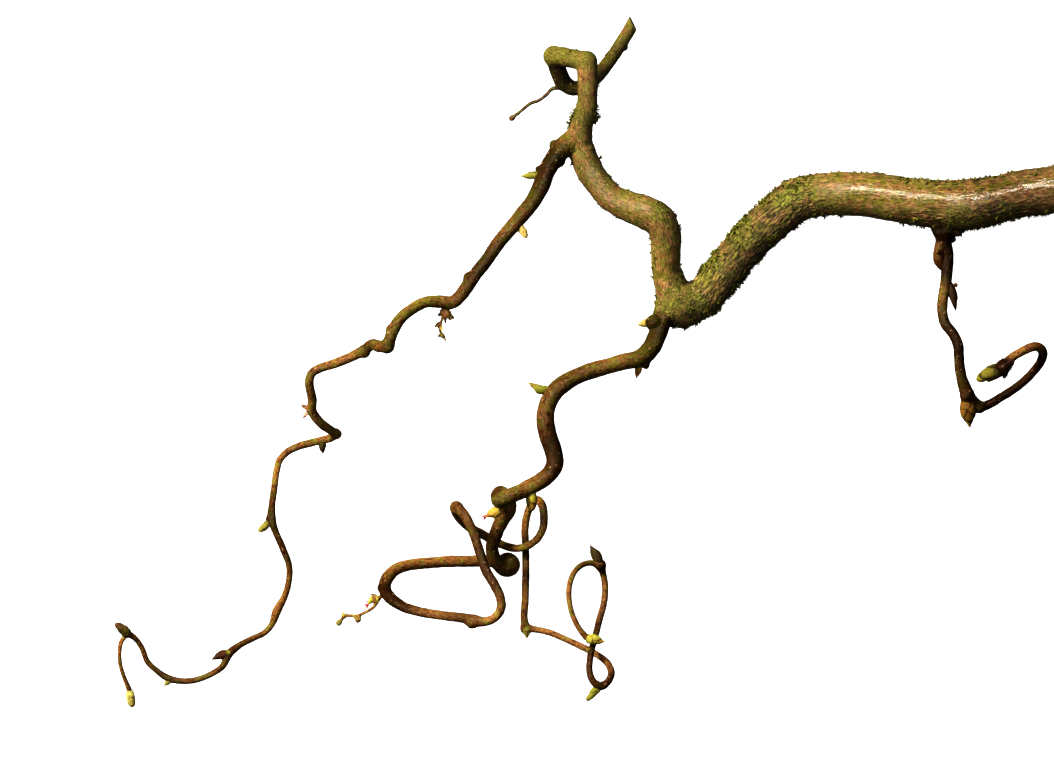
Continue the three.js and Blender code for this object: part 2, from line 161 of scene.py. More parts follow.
def makeStudio():
    half, low = studio["floorSide"] / 2, -studio["floorDrop"]
    sheet = bpy.data.meshes.new("floor")
    sheet.from_pydata([(x * half, y * half, low) for x, y in ((-1, -1), (1, -1), (1, 1), (-1, 1))],
                      [], [(0, 1, 2, 3)])
    sheet.materials.append(finishPaint(newPaint("paleFloor")[0], {
        "Base Color": studio["floorColour"], "Roughness": studio["floorRough"],
        "Specular IOR Level": studio["floorShine"],
        "Emission Color": white, "Emission Strength": studio["floorGlow"]}))
    floor = shown("floor", sheet)
    floor.visible_diffuse = floor.visible_glossy = False
    for word in ("key", "fill"):
        lamp = softLight(word + "Light", studio[word + "From"], studio[word + "Size"],
                         studio[word + "Power"])
        lamp.visible_glossy = False
    for number, (place, length, power) in enumerate(studio["strips"]):
        strip = softLight(f"stripLight{number}", place, studio["stripSize"], power, length,
                          studio["stripColour"])
        strip.visible_diffuse = False  # they make the glints alone
    world = bpy.data.worlds.new("air")
    bpy.context.scene.world = world
    world.use_nodes = True
    nodes = world.node_tree.nodes
    seen = fill(nodes["Background"], {"Color": white})
    lit = addNode(world.node_tree, "Background",
                  {"Color": studio["airColour"], "Strength": studio["air"]})
    path = addNode(world.node_tree, "LightPath")
    mix = addNode(world.node_tree, "MixShader", {
        0: path.outputs["Is Camera Ray"], 1: lit.outputs[0], 2: seen.outputs[0]})
    fill(nodes["World Output"], {"Surface": mix.outputs[0]})
    bpy.context.scene.view_settings.view_transform = "Standard"
    bpy.context.scene.view_settings.look = "High Contrast"


makeCamera()
makeStudio()
print("camera and studio made")

flatDepth = 0.35  # mm, the three resting spots are worn this flat


def restHeight(thickness):
    return thickness / 2 - flatDepth


# The wood, shoot by shoot: the piece it is in, how softly it joins, and what is read along it
# (age, green film and painted shade, partly darker bark, from 0 to 1, and the centreline as [x, y,
# z, thickness] in mm).
shoots = {
    "limb": {"piece": "limb", "blend": 1.6, "age": (1, 1), "olive": (0.3, 0.75),
        "dark": (0.25, 0.3, 0.45, 0.45, 0.05, 0, 0, 0.25, 0.35, 0.1, 0.1), "stops": [
        [170.3, 61.8, restHeight(16), 16], [161.3, 60.3, restHeight(16), 16], [153, 59, 7.9, 15.9],
        [144.3, 57.8, 8.3, 15.9], [133, 56.2, 9.4, 15.4], [126.3, 54.7, 10.3, 15.8],
        [118, 53.1, 11.5, 16.4], [108.7, 52.8, 12.5, 16.2], [99.7, 53.4, 13.2, 15.5],
        [86.3, 55.5, 14, 14.8], [76.3, 56.4, 14, 14.4], [66.3, 56.2, 13.8, 14.2],
        [58.7, 54.3, 13.2, 14.2], [54, 51, 12.6, 14], [49.3, 46.8, 12, 13.9],
        [40.7, 38.3, 10.5, 13.3], [33.3, 29, 8.8, 12.8], [27, 21.7, 7.4, 13], [21, 19, 6.9, 13.2],
        [16.7, 18.2, 7.4, 11.6]]},
    "stem": {"piece": "stem", "blend": 1.6, "age": (0.95, 0.6), "olive": (0.55, 0.45, 0.6),
        "dark": (0.3, 0, 0, 0, 0.05, 0.3, 0.45, 0, 0.4, 0.35, 0.15), "stops": [
        [19.4, 19.3, 7.6, 12.9], [17.1, 25, 9, 10.9], [15.2, 31, 11, 9.7], [15, 37.7, 13.5, 9.8],
        [14.9, 42.5, 15.5, 10.3], [12.9, 47.3, 17, 11], [8.3, 50.1, 17.6, 10.7], [3, 52, 17, 10],
        [-3.1, 55, 15.5, 9.3], [-7.2, 59.5, 14, 9], [-10.6, 64.5, 12.8, 9.1], [-13, 70.3, 13, 9.1],
        [-13.8, 74.8, 14, 8.2], [-13, 79.7, 15.3, 7.6], [-11.4, 85.3, 16.5, 6.9],
        [-11.2, 91, 17, 6.7], [-11.3, 96.3, 16.6, 6.6], [-11.5, 100.2, 15.8, 6.4]]},
    "crook": {"piece": "stem", "blend": 0.7, "age": (0.6, 0.55), "olive": (0.9, 1),
        "dark": (0.2, 0.2), "stops": [
        [-11.5, 100.2, 15.8, 6.5], [-15.3, 101.2, 14.5, 6.5], [-19.7, 102.2, 12.8, 6.2],
        [-22.3, 102.4, 10.2, 6.2]]},
    "crookTail": {"piece": "stem", "blend": 0.7, "age": (0.5, 0.5), "olive": (0.6, 0.8, 0.9),
        "dark": (0.9, 0.9, 0.7, 0.45, 0.5, 0.6, 0.2, 0.1), "stops": [
        [-22.3, 102.3, 9.6, 5.75], [-20.4, 96.2, 5.8, 5.75], [-18.9, 93.4, 4, 5.55],
        [-16.2, 91.8, 2.9, 5.05], [-11.3, 92.7, restHeight(4.4), 4.4], [-7.7, 96, 2.7, 4.65],
        [-3.7, 101, 5.2, 4.45], [-0.3, 106, 7.8, 4.35], [3.3, 112, 10.5, 4.25],
        [5.6, 116, 12.2, 4.25]]},
    "deadStalk": {"piece": "stem", "blend": 0.5, "age": (0.4, 0.4), "olive": (0.6, 0.5),
        "dark": (0.75, 0.55), "stops": [
        [-20.5, 92, 3.6, 1.6], [-23, 91.4, 3.8, 1.3], [-25, 89.4, 4.2, 1.2],
        [-27.6, 87.5, 4.6, 1.2], [-30, 86.7, 4.8, 1.2], [-33.7, 83.8, 4.3, 1.1],
        [-36.3, 81.8, 3.8, 1.2]]},
    "twigUpper": {"piece": "leftTwig", "blend": 1.4, "age": (0.42, 0.22),
        "olive": (0.7, 0.6, 0.45, 0.4, 0.65, 0.5),
        "dark": (0, 0.95, 0.9, 0.65, 0.5, 0.85, 0.85, 0.4, 0, 0.35, 0.7), "stops": [
        [-13.8, 75.2, 14, 7.5], [-18.1, 72.8, 14.6, 7.1], [-22, 68.4, 15.8, 6.4],
        [-24.7, 64, 17.2, 5.8], [-26.4, 59.7, 18.8, 5.9], [-28.8, 54.7, 21, 5.4],
        [-34.3, 47.7, 24.5, 5], [-40, 41, 27.5, 4.6], [-44.7, 34.3, 30, 4.4],
        [-49.7, 27.8, 32, 4.5], [-53.3, 22.6, 33, 4.4], [-56.3, 20.2, 33.4, 4.4],
        [-60.3, 20.4, 34.6, 4.3], [-65.3, 20.1, 37, 3.8], [-70, 17.6, 40, 3.8], [-74, 14, 43, 3.9],
        [-76.4, 9.3, 44, 4], [-77.8, 5.5, 43, 4.1]]},
    "twigMiddle": {"piece": "leftTwig", "blend": 0.4, "age": (0.25, 0.15), "olive": (0.4, 0.35),
        "dark": (0.4, 0.75, 0.15, 0, 0.55, 0.35, 0, 0, 0), "stops": [
        [-77.8, 5.5, 42.8, 4], [-80.3, 5.5, 41, 4], [-82.8, 6.1, 39, 3.7], [-85.5, 4.3, 37, 3.6],
        [-90.3, 1.8, 35, 3.3], [-95.3, -0.2, 35.5, 3.2], [-100.3, -1.8, 36.2, 3],
        [-103, -3.7, 36.2, 3], [-103.7, -6.7, 35.5, 3], [-102.8, -12, 32, 3.1],
        [-102.7, -16.3, 28.5, 3.2], [-100, -20, 25, 3.1], [-96.4, -22.6, 20.5, 3],
        [-95, -23.6, 17.8, 3]]},
    "twigLower": {"piece": "leftTwig", "blend": 0.4, "age": (0.1, 0), "olive": (0.35, 0.3),
        "dark": (0, 0.35, 0.3, 0, 0.75, 0.9, 0.7, 0, 0, 0.3, 0.55, 0.8, 0.5, 0.7, 0.9, 0, 0),
        "stops": [
        [-95, -23.6, 17.4, 2.8], [-96.9, -25, 15, 2.8], [-100.3, -25.9, 14, 2.6],
        [-103.7, -26.7, 14, 2.64], [-107.3, -27.7, 14.5, 2.52], [-111, -29.5, 15.5, 2.4],
        [-113.7, -32.3, 17, 2.28], [-114.8, -36.3, 19.5, 2.28], [-115.5, -41.7, 22.5, 2.28],
        [-116.2, -47, 25.5, 2.28], [-116.3, -52, 27.5, 3.12], [-115.2, -55.7, 28, 2.28],
        [-112.5, -62, 27, 2.28], [-110.5, -67.7, 24.5, 2.16], [-110.7, -73, 21.5, 2.16],
        [-112.2, -78, 18.5, 2.28], [-114.7, -82.7, 17, 3.12], [-116.3, -87, 16, 2.16],
        [-118.7, -89.8, 16.4, 2.04], [-122.7, -91.8, 18, 2.04], [-127, -94, 20.5, 2.16],
        [-130.7, -97, 22.5, 3], [-132.7, -101, 22.8, 2.16], [-136.7, -103.7, 21.3, 2.04],
        [-141.7, -105.6, 19.3, 2.04], [-146.3, -106, 17.8, 2.04], [-151, -105, 17, 2.4],
        [-154.7, -102.5, 17, 1.92], [-157.7, -99.6, 18, 1.92], [-159.7, -94.7, 20.5, 1.8],
        [-162.3, -91.3, 23, 1.92], [-164.7, -90, 24.5, 2.64]]},
    "twigTip": {"piece": "leftTwig", "blend": 0.4, "age": (0, 0), "olive": (0, 0.2),
        "dark": (0, 0), "stops": [
        [-164.4, -90.2, 24.3, 1.82], [-166.4, -92.8, 24, 1.54], [-167, -96.3, 23, 1.4],
        [-166.8, -100.3, 21, 1.4], [-165.5, -104.7, 18.5, 1.4], [-163.7, -109.3, 15.5, 1.82]]},
    "shootUpper": {"piece": "lowerShoot", "blend": 1.4, "age": (0.38, 0.2),
        "olive": (0.85, 0.8, 0.4, 0.5, 0.3, 0.2, 0.75),
        "dark": (0.3, 0.9, 0.7, 0.15, 0.45, 0.65, 0.55, 0.95, 0.9, 0.15, 0.5), "stops": [
        [18.3, 19, 8, 7.2], [13.8, 14.4, 10, 7], [12.3, 9.7, 12, 6.4], [10.3, 5.3, 14, 6.2],
        [6.6, 1.8, 16.5, 6.1], [1, 0.4, 19, 5.5], [-5.3, -1.3, 21, 5.4], [-12, -3.3, 23, 5.5],
        [-17.7, -6, 25, 5.7], [-22, -9.4, 26.5, 5.8], [-24.5, -14, 27.5, 5.9], [-25.3, -19, 28, 6],
        [-24.2, -24.3, 28, 6], [-22.5, -29.7, 28, 6], [-22.1, -33.6, 28.3, 5.9],
        [-24, -37, 29, 5.7], [-28, -40, 30.5, 5.6], [-33, -42.6, 32.5, 5.3],
        [-37.3, -44.4, 34.6, 5.3], [-40.6, -45.7, 34.8, 5]]},
    "shootDrop": {"piece": "lowerShoot", "blend": 0.7, "age": (0.3, 0.3), "olive": (0.35, 0.45),
        "dark": (0, 0, 0.3, 0.5, 0.8, 0.75, 0.8, 0.3), "stops": [
        [-39.6, -45, 34, 5.6], [-37.8, -46.6, 29.4, 6], [-38, -49.3, 25.5, 5.7],
        [-40, -53, 22.5, 5], [-41.8, -57.3, 20, 4.5], [-43, -61.7, 18, 4.4],
        [-42.2, -65.2, 16.6, 4.7], [-39.6, -67.6, 14, 5.4], [-37.8, -67.3, 12, 5.8]]},
    "shootBow": {"piece": "lowerShoot", "blend": 0.7, "age": (0.2, 0.15), "olive": (0.05, 0.2),
        "dark": (0.6, 0.6, 0, 0, 0, 1, 0.95, 0.3, 0.75, 0, 0.8, 0.9, 0.65, 0.6), "stops": [
        [-37.8, -67, 10, 5.7], [-41.3, -66.3, 5.6, 4.5], [-45, -66, 4.2, 3.9],
        [-50.3, -66.1, 4.6, 3.85], [-57, -66.2, 7, 3.85], [-64.3, -66.7, 10.5, 3.75],
        [-70.4, -67.3, 14, 3.85], [-75.3, -69, 17.5, 4.05], [-78, -72, 20.5, 4.25],
        [-78.7, -75.3, 23, 4.35], [-76.7, -78.3, 25.5, 4], [-72.3, -81.2, 28, 3.5],
        [-67, -82.8, 30, 3.2], [-59.7, -84, 32, 3.1], [-53, -84.8, 33, 3.3],
        [-49, -85.7, 33.5, 4.2], [-45.3, -86, 34, 3.1], [-42, -84.7, 35, 3],
        [-40, -81.7, 35.6, 3.1], [-40.2, -78, 36, 3.1], [-42.2, -73.7, 35.5, 3.2],
        [-45, -69, 34.5, 3.2], [-47, -63, 33.5, 3.2], [-49, -57, 33, 3.2], [-51.3, -52, 32.5, 3.3],
        [-53.8, -48.7, 31, 3.5], [-54.8, -48.2, 29.7, 3.6]]},
    "shootRing": {"piece": "lowerShoot", "blend": 0.4, "age": (0.15, 0.1), "olive": (0.4, 0.25),
        "dark": (0.4, 0.4, 0.2, 0.5, 0, 0, 0.35, 0.15, 0, 1, 0.1, 0.4), "stops": [
        [-54.8, -48.2, 29.4, 3.65], [-54.7, -50, 26.5, 3.55], [-52.7, -52.7, 23, 3.25],
        [-49.7, -55.3, 19, 3.15], [-46, -57.2, 15, 3.05], [-42.7, -59.2, 12.5, 2.95],
        [-39.3, -60.7, 13, 2.75], [-35.7, -61.7, 15.5, 2.65], [-31.7, -61.2, 19, 2.55],
        [-28, -58.7, 21.5, 2.55], [-26, -55, 22.5, 2.65], [-25.7, -51, 22.5, 2.75],
        [-26.3, -47.3, 21.5, 2.85], [-27.8, -45.7, 19, 2.85], [-29.7, -47, 16, 2.75],
        [-31.2, -50.3, 14, 2.65], [-32, -55, 13, 2.55], [-31.8, -61, 13.3, 2.45],
        [-31.7, -67, 14.5, 2.45], [-31.8, -73.7, 17.5, 2.45], [-32, -80, 21, 2.45],
        [-32.3, -85, 23.5, 2.55], [-31.7, -88.4, 25, 2.95]]},
    "shootCurl": {"piece": "lowerShoot", "blend": 0.4, "age": (0.1, 0),
        "olive": (0.05, 0.05, 0.05, 0.1, 0.4, 0.25),
        "dark": (0, 0.2, 0.1, 0.15, 0.95, 0.8, 0.95, 0.6, 0, 0, 0.5, 0.1, 0.2, 0.3), "stops": [
        [-31.9, -88.4, 25, 2.6], [-28, -88.8, 25.7, 2.2], [-23.7, -89.8, 27, 2.1],
        [-17.7, -92.3, 28, 2.1], [-12, -95, 28.5, 2.2], [-7.7, -97.3, 29.3, 2.2],
        [-4.7, -99.7, 31, 2.3], [-3.3, -102.7, 33, 2.4], [-4.2, -105.7, 34.8, 2.4],
        [-6.7, -107.5, 36, 2.9], [-9.2, -106, 36.8, 2.4], [-10.5, -102.7, 36.8, 2.2],
        [-10.4, -98.7, 35.8, 2.2], [-9.7, -95, 34, 2.2], [-8.5, -90.7, 31, 2.2],
        [-7.2, -85.3, 28, 2.3], [-5.8, -80.3, 26.5, 2.2], [-5.3, -75.3, 26.5, 2.2],
        [-5.8, -71, 27.5, 2.2], [-7, -68, 28.8, 2.6], [-9.7, -66.6, 30.5, 2],
        [-13, -67.2, 33, 1.9], [-15.7, -69.8, 35.3, 1.9], [-17.2, -74, 37.3, 1.9],
        [-17.3, -78.7, 38, 1.8], [-16.2, -83.7, 38, 1.8], [-13.7, -88.7, 37.3, 1.9],
        [-11.3, -91.5, 36.5, 2.3]]},
    "spurUpper": {"piece": "limbTwig", "blend": 1.2, "age": (0.3, 0.15), "olive": (0.6, 0.35),
        "dark": (1, 1, 1, 1, 0.3, 0.85, 1, 1, 0.8, 0.9, 0.8), "stops": [
        [108.3, 49.7, 11, 6.05], [107.7, 43.7, 10, 5.55], [108.2, 39.4, 9.6, 4.45],
        [109, 35.7, 9.4, 4], [108.7, 31, 9.6, 3.9], [108.2, 26, 10, 3.8], [107.3, 21, 10.6, 3.55],
        [107.2, 16.7, 11.3, 3.55], [108.2, 13, 12, 3.55], [110.7, 9.7, 12.6, 3.55],
        [112.3, 6.3, 13, 3.55], [112.7, 1.7, 12.8, 3.45], [113.3, -3.7, 12, 3.55],
        [115, -9, 10.8, 4.45], [117, -12.3, 9.6, 4.05], [119.4, -14.6, 8.3, 3.55]]},
    "spurHook": {"piece": "limbTwig", "blend": 0.4, "age": (0.1, 0.05), "olive": (0.1, 0.1),
        "dark": (1, 1, 0.95, 0.9, 0.9, 0.95, 0.55, 0.1, 1), "stops": [
        [119.2, -14.6, 8.3, 3.3], [121.7, -14.2, 7.6, 3.1], [127, -11.3, 6.6, 2.9],
        [132.7, -7.5, 6.8, 2.9], [137, -3.5, 8.6, 2.9], [140.2, 1, 11.8, 3.1],
        [140.4, 4.2, 14.8, 3.2], [138, 5.5, 16.8, 3.1], [134.3, 4.2, 18, 3],
        [130.3, 1.8, 18.6, 2.9], [127.6, -1.2, 18.3, 4.2]]},
    "limbTwigKnob": {"piece": "limbTwig", "blend": 0.35, "age": (0.1, 0), "olive": (0.2, 0),
        "dark": (1, 0.95, 0.5, 0.75, 0.95), "stops": [
        [107, 43.6, 10, 2.4], [106.4, 40, 10.2, 3.2], [106, 36.6, 10.2, 3.8], [106, 34.2, 10, 3.7],
        [106.8, 32.3, 9.8, 2.6]]},
    "dryStalk": {"piece": "leftTwig", "blend": 0.4, "age": (0.2, 0.2), "olive": (0.3, 0.3),
        "dark": (0.3, 0), "stops": [
        [-59, 19.5, 34, 1.5], [-58.8, 16.7, 33.5, 1.2], [-59.8, 14, 33, 0.9],
        [-60.3, 11.3, 32.5, 0.9], [-59.6, 8.8, 32, 1]]},
    "flowerStalk": {"piece": "lowerShoot", "blend": 0.4, "age": (0, 0), "olive": (0.2, 0.5),
        "dark": (0, 0), "stops": [
        [-78, -75.7, 23, 1.4], [-80.7, -78.6, 23.5, 1.2], [-82.4, -81.3, 23.5, 1.1],
        [-85.7, -83.3, 23, 1], [-88, -84.2, 22.5, 1.1], [-91.7, -84.3, 22, 1],
        [-94, -86.5, 21.5, 1.2]]},
}

# Round swellings at the elbow, the sharp turns, old scars and dead knobs: [x, y, z, thickness],
# with a blend where the foot stays sharp.
swellings = [
    [20.3, 19.7, restHeight(15), 15], [-11.5, 100.2, 15.8, 6.6], [-22.3, 102.3, 9.9, 6.3],
    [-77.8, 5.6, 42.9, 4.1], [-95, -23.6, 17.6, 3.1], [-40.1, -44.3, 32.8, 6.8, 0.3],
    [-37.7, -67.3, 11.6, 8.2], [-54.8, -48.3, 29.5, 3.9], [-31.8, -88.4, 25, 2.9],
    [119.3, -14.7, 8.3, 3.6], [107.6, 44.8, 10, 7.8], [113, 46.2, 10, 4.8],
    [109.4, 44.4, 11.4, 3.2, 0.5], [10.9, 13.4, 12.4, 5.6, 0.5], [-27.5, 64.6, 17.6, 2],
    [-20.2, 66.9, 15.6, 2.8], [-22.6, 73, 15.2, 2.4], [-51.2, 28.7, 32.2, 2.6],
    [8.3, -0.8, 15.6, 2.4], [-49.7, -86.9, 33.4, 2.9], [-77.1, 11.2, 43.6, 2.3],
    [-85.3, 3.1, 37, 2.8], [-104.2, -15, 29.5, 1.8], [-8.7, 81.3, 15.4, 2.4],
    [1.5, 105.2, 7.6, 1.7], [-36.4, 81.7, 3.8, 1.8], [-117.3, -52, 27.5, 1.9],
    [-6.6, -67, 28.9, 3.1], [-80.1, -75, 22.8, 1.7], [-57.9, 16.1, 33.4, 2.6],
    [-59.6, 17, 33.4, 1.7], [-60.8, 12.6, 32.8, 1.6], [-59.4, 9.2, 32, 1.4],
    [-82, -78.6, 23.6, 2.4], [-87.6, -85.5, 22.4, 2.1], [-92.3, -84.2, 22, 1.4],
    [-94, -86.6, 21.5, 1.7], [105.5, 37.2, 12.5, 1.5, 0.2], [111.6, 26, 9.8, 1.5, 0.4],
    [112.3, 43.8, 10, 3.4, 0.25], [103.9, 46.3, 10, 2.6, 0.25], [110.6, 41.2, 9.8, 2.2, 0.25],
    [115.2, -10.8, 11.6, 4.6, 0.4], [127.3, -1.3, 18.6, 5.2, 0.3], [129.3, 0.2, 18.8, 3.6, 0.3],
]

wood = {
    "sampleGap": 0.2,
    # keeps the limb under 200,000 triangles
    "voxel": 0.335,  # mm, the size of the skin's cells; at this size the limb has under 200,000 triangles
    "swellingBlend": 1.1,  # share of a swelling's radius that its foot is rounded by, and the most
    "mostBlend": 1.5,
    "reach": 5.0,  # how far from a shoot its own field is read
    "swellingReach": 2.5,
    "ringStep": 3, "ringSides": 14,  # of the rough tubes that the skin starts from
    "fitTurns": 3, "fitStep": 0.6,
}


def smoothPath(stops):
    # A rounded line through the stops, as the solid's own, read at even gaps.
    stops = np.asarray(stops, float)
    at, thick = stops[:, :3], stops[:, 3]
    ends = np.vstack([2 * at[0] - at[1], at, 2 * at[-1] - at[-2]])
    line, width = [], []
    for i in range(len(at) - 1):
        p0, p1, p2, p3 = ends[i:i + 4]
        d0, d1, d2 = (max(np.linalg.norm(b - a) ** 0.5, 1e-4)
                      for a, b in ((p0, p1), (p1, p2), (p2, p3)))
        m1 = d1 * ((p1 - p0) / d0 - (p2 - p0) / (d0 + d1) + (p2 - p1) / d1)
        m2 = d1 * ((p2 - p1) / d1 - (p3 - p1) / (d1 + d2) + (p3 - p2) / d2)
        u = np.linspace(0, 1, 40, endpoint=(i == len(at) - 2))[:, None]
        line.append((2 * u**3 - 3 * u**2 + 1) * p1 + (u**3 - 2 * u**2 + u) * m1
                    + (-2 * u**3 + 3 * u**2) * p2 + (u**3 - u**2) * m2)
        width.append(thick[i] + (thick[i + 1] - thick[i]) * u[:, 0])
    line, width = np.vstack(line), np.concatenate(width)
    run = np.concatenate([[0], np.cumsum(np.linalg.norm(np.diff(line, axis=0), axis=1))])
    even = np.linspace(0, run[-1], int(run[-1] / wood["sampleGap"]) + 2)
    points = np.stack([np.interp(even, run, line[:, axis]) for axis in range(3)], 1)
    radius = np.interp(even, run, width) / 2
    radius = np.convolve(np.pad(radius, 3, mode="edge"), np.ones(7) / 7, "valid")
    heading = unit(np.gradient(points, axis=0))
    side = np.zeros_like(points)
    start = np.cross(heading[0], (0, 0, 1.0))
    side[0] = unit(start if np.linalg.norm(start) > 0.1 else (1, 0, 0))
    for i in range(1, len(even)):
        side[i] = unit(side[i - 1] - heading[i] * (side[i - 1] @ heading[i]))
    return {"points": points, "radius": radius, "heading": heading, "side": side,
            "up": np.cross(heading, side), "run": even,
            "low": points.min(0), "high": points.max(0)}


for shoot in shoots.values():
    shoot["path"] = smoothPath(shoot["stops"])
print("centrelines read:", round(sum(s["path"]["run"][-1] for s in shoots.values())), "mm of wood")


def tubeFaces(rings, sides):
    # Faces round rows of corners, with a fan to one more corner at each end.
    ring, k = (part.ravel() for part in
               np.meshgrid(np.arange(rings - 1), np.arange(sides), indexing="ij"))
    here, after = ring * sides, (k + 1) % sides
    faces = np.column_stack([here + k, here + after, here + sides + after,
                             here + sides + k]).tolist()
    end = rings * sides
    faces += [(end, (k + 1) % sides, k) for k in range(sides)]
    return faces + [(end + 1, end - sides + k, end - sides + (k + 1) % sides)
                    for k in range(sides)]


def tubeOf(line, radii, sideways, upward, sides):
    # A closed tube of round rings along a line.
    angles = np.arange(sides)[:, None] * 2 * np.pi / sides
    rings = [line[i] + radii[i] * (np.cos(angles) * sideways[i] + np.sin(angles) * upward[i])
             for i in range(len(line))]
    return np.vstack(rings + [line[:1], line[-1:]]), tubeFaces(len(line), sides)


def joined(parts):
    # Puts parts of corners, faces and often tints in one: corners, tints and faces.
    faces, total = [], 0
    for corners, polygons, *_ in parts:
        faces += [tuple(i + total for i in polygon) for polygon in polygons]
        total += len(corners)
    return [np.vstack(column) for column in list(zip(*parts))[::2]] + [faces]


def roughSkin():
    # Tubes and balls along the centrelines, wrapped in one even skin.
    parts = []
    for shoot in shoots.values():
        path = shoot["path"]
        last = len(path["points"]) - 1
        picked = sorted({*range(0, last, wood["ringStep"]), last})
        parts.append(tubeOf(*(path[word][picked] for word in ("points", "radius", "side", "up")),
                            wood["ringSides"]))
    for x, y, z, thickness, *_ in swellings:
        ball = bmesh.new()
        bmesh.ops.create_icosphere(ball, subdivisions=3, radius=thickness / 2)
        parts.append((np.array([v.co[:] for v in ball.verts]) + (x, y, z),
                      [[v.index for v in face.verts] for face in ball.faces]))
        ball.free()
    corners, faces = joined(parts)
    mesh = bpy.data.meshes.new("roughSkin")
    mesh.from_pydata(corners, [], faces)
    rough = shown("roughSkin", mesh)
    remesh = rough.modifiers.new("skin", "REMESH")
    remesh.mode, remesh.voxel_size = "VOXEL", wood["voxel"]
    evaluated = rough.evaluated_get(bpy.context.evaluated_depsgraph_get())
    skin = bpy.data.meshes.new_from_object(evaluated)
    bpy.data.objects.remove(rough)
    return skin


def numbersOf(data, word, width=1, kind=float):
    # What a mesh holds under a word, a row for each of its parts.
    values = np.empty(len(data) * width, kind)
    data.foreach_get(word, values)
    return values.reshape(-1, width) if width > 1 else values


def toPath(path, points):
    # Distance to a shoot's surface, the way out of it, and where along and round it a point is.
    centre = path["points"]
    square = (centre * centre).sum(1)
    nearest = np.empty(len(points), int)
    block = 20000  # points at a time, for the memory's sake
    for first in range(0, len(points), block):
        part = points[first:first + block]
        nearest[first:first + block] = np.argmin(square - 2 * part @ centre.T, axis=1)
    heading = path["heading"][nearest]
    ahead = ((points - centre[nearest]) * heading).sum(1)
    ahead = np.clip(ahead, -wood["sampleGap"] / 2, wood["sampleGap"] / 2)
    run = path["run"][nearest] + ahead
    out = points - (centre[nearest] + ahead[:, None] * heading)
    away = np.linalg.norm(out, axis=1)
    radius = np.interp(run, path["run"], path["radius"])
    return away - radius, out / np.maximum(away, 1e-9)[:, None], run, nearest, radius


def merge(value, way, index, away, out, blend):
    share = np.clip(0.5 + 0.5 * (value[index] - away) / blend, 0, 1)
    value[index] = value[index] * (1 - share) + away * share - blend * share * (1 - share)
    way[index] = way[index] * (1 - share)[:, None] + out * share[:, None]


def field(points, near=None):
    # The joined surface's distance and way out. Where two shoots meet, the field is rounded.
    value = np.full(len(points), 50.0)
    way = np.zeros((len(points), 3))
    owner = np.zeros(len(points), int)
    closest = np.full(len(points), 1e9)
    found = []
    for order, shoot in enumerate(shoots.values()):
        path = shoot["path"]
        if near is None:
            most = path["radius"].max() + wood["reach"]
            inside = ((points > path["low"] - most) & (points < path["high"] + most)).all(1)
            index = np.nonzero(inside)[0]
        else:
            index = near[order]
        away, out, *_ = toPath(path, points[index])
        kept = away < wood["reach"]
        index, away, out = index[kept], away[kept], out[kept]
        found.append(index)
        merge(value, way, index, away, out, shoot["blend"])
        better = away < closest[index]
        owner[index[better]] = order
        closest[index[better]] = away[better]
    for x, y, z, thickness, *blend in swellings:
        offset = points - (x, y, z)
        most = thickness / 2 + wood["swellingReach"]
        index = np.nonzero((np.abs(offset) < most).all(1))[0]
        away = np.linalg.norm(offset[index], axis=1)
        out = offset[index] / np.maximum(away, 1e-9)[:, None]
        merge(value, way, index, away - thickness / 2, out,
              blend[0] if blend else min(wood["mostBlend"], thickness / 2 * wood["swellingBlend"]))
    return value, unit(way), owner, found


skin = roughSkin()
points = numbersOf(skin.vertices, "co", 3)
print("skin made:", len(points), "points")
near = None
for turn in range(wood["fitTurns"]):
    value, way, owner, near = field(points, near)
    points -= np.clip(value, -wood["fitStep"], wood["fitStep"])[:, None] * way
skin.vertices.foreach_set("co", points.ravel())
print("skin fitted to the centrelines")

# The pruned end and the broken stub. The rings of faces that close them grow finer to the rim.
cuts = {
    "prunedFace": {"at": (167.8, 61.4, 8), "facing": (0.97, 0.12, 0.2), "reach": 14, "rings": 16,
                   "ragged": 0.05, "raggedLength": 0.8},
    "brokenFace": {"at": (4.4, 112.4, 10.8), "facing": (0.9, 0.42, 0.14), "reach": 6, "rings": 7,
                   "ragged": 0.45, "raggedLength": 0.7},
}


def cutEnd(body, marks, cut, number):
    # Everything beyond the cut goes, and rings of faces close the end.
    facing, at = Vector(cut["facing"]).normalized(), Vector(cut["at"])
    close = [f for f in body.faces if (f.calc_center_median() - at).length < cut["reach"]]
    parts = dict.fromkeys(close)  # each part once, in the same order every run
    for face in close:
        parts.update(dict.fromkeys([*face.edges, *face.verts]))
    done = bmesh.ops.bisect_plane(body, geom=list(parts), plane_co=at, plane_no=facing,
                                  clear_outer=True, dist=1e-5)
    edges = [e for e in done["geom_cut"] if isinstance(e, bmesh.types.BMEdge) and e.is_boundary]
    left, loop, edge = set(edges), [], edges[0]
    start = vertex = edge.verts[0]
    while True:
        loop.append(vertex)
        left.remove(edge)
        vertex = edge.other_vert(vertex)
        if vertex == start:
            break
        edge = next(e for e in vertex.link_edges if e in left)
    middle = sum((v.co for v in loop), Vector()) / len(loop)
    outline = [v.co.copy() for v in loop]
    ring = loop
    for step in range(1, cut["rings"] + 1):
        share = 1 - (step / (cut["rings"] + 0.4)) ** 1.15
        inner = [body.verts.new(middle + (co - middle) * share) for co in outline]
        for k in range(len(ring)):
            n = (k + 1) % len(ring)
            body.faces.new((ring[k], inner[k], inner[n], ring[n]))[marks] = number
        ring = inner
    tip = body.verts.new(middle)
    for k in range(len(ring)):
        body.faces.new((ring[k], tip, ring[(k + 1) % len(ring)]))[marks] = number
    return middle


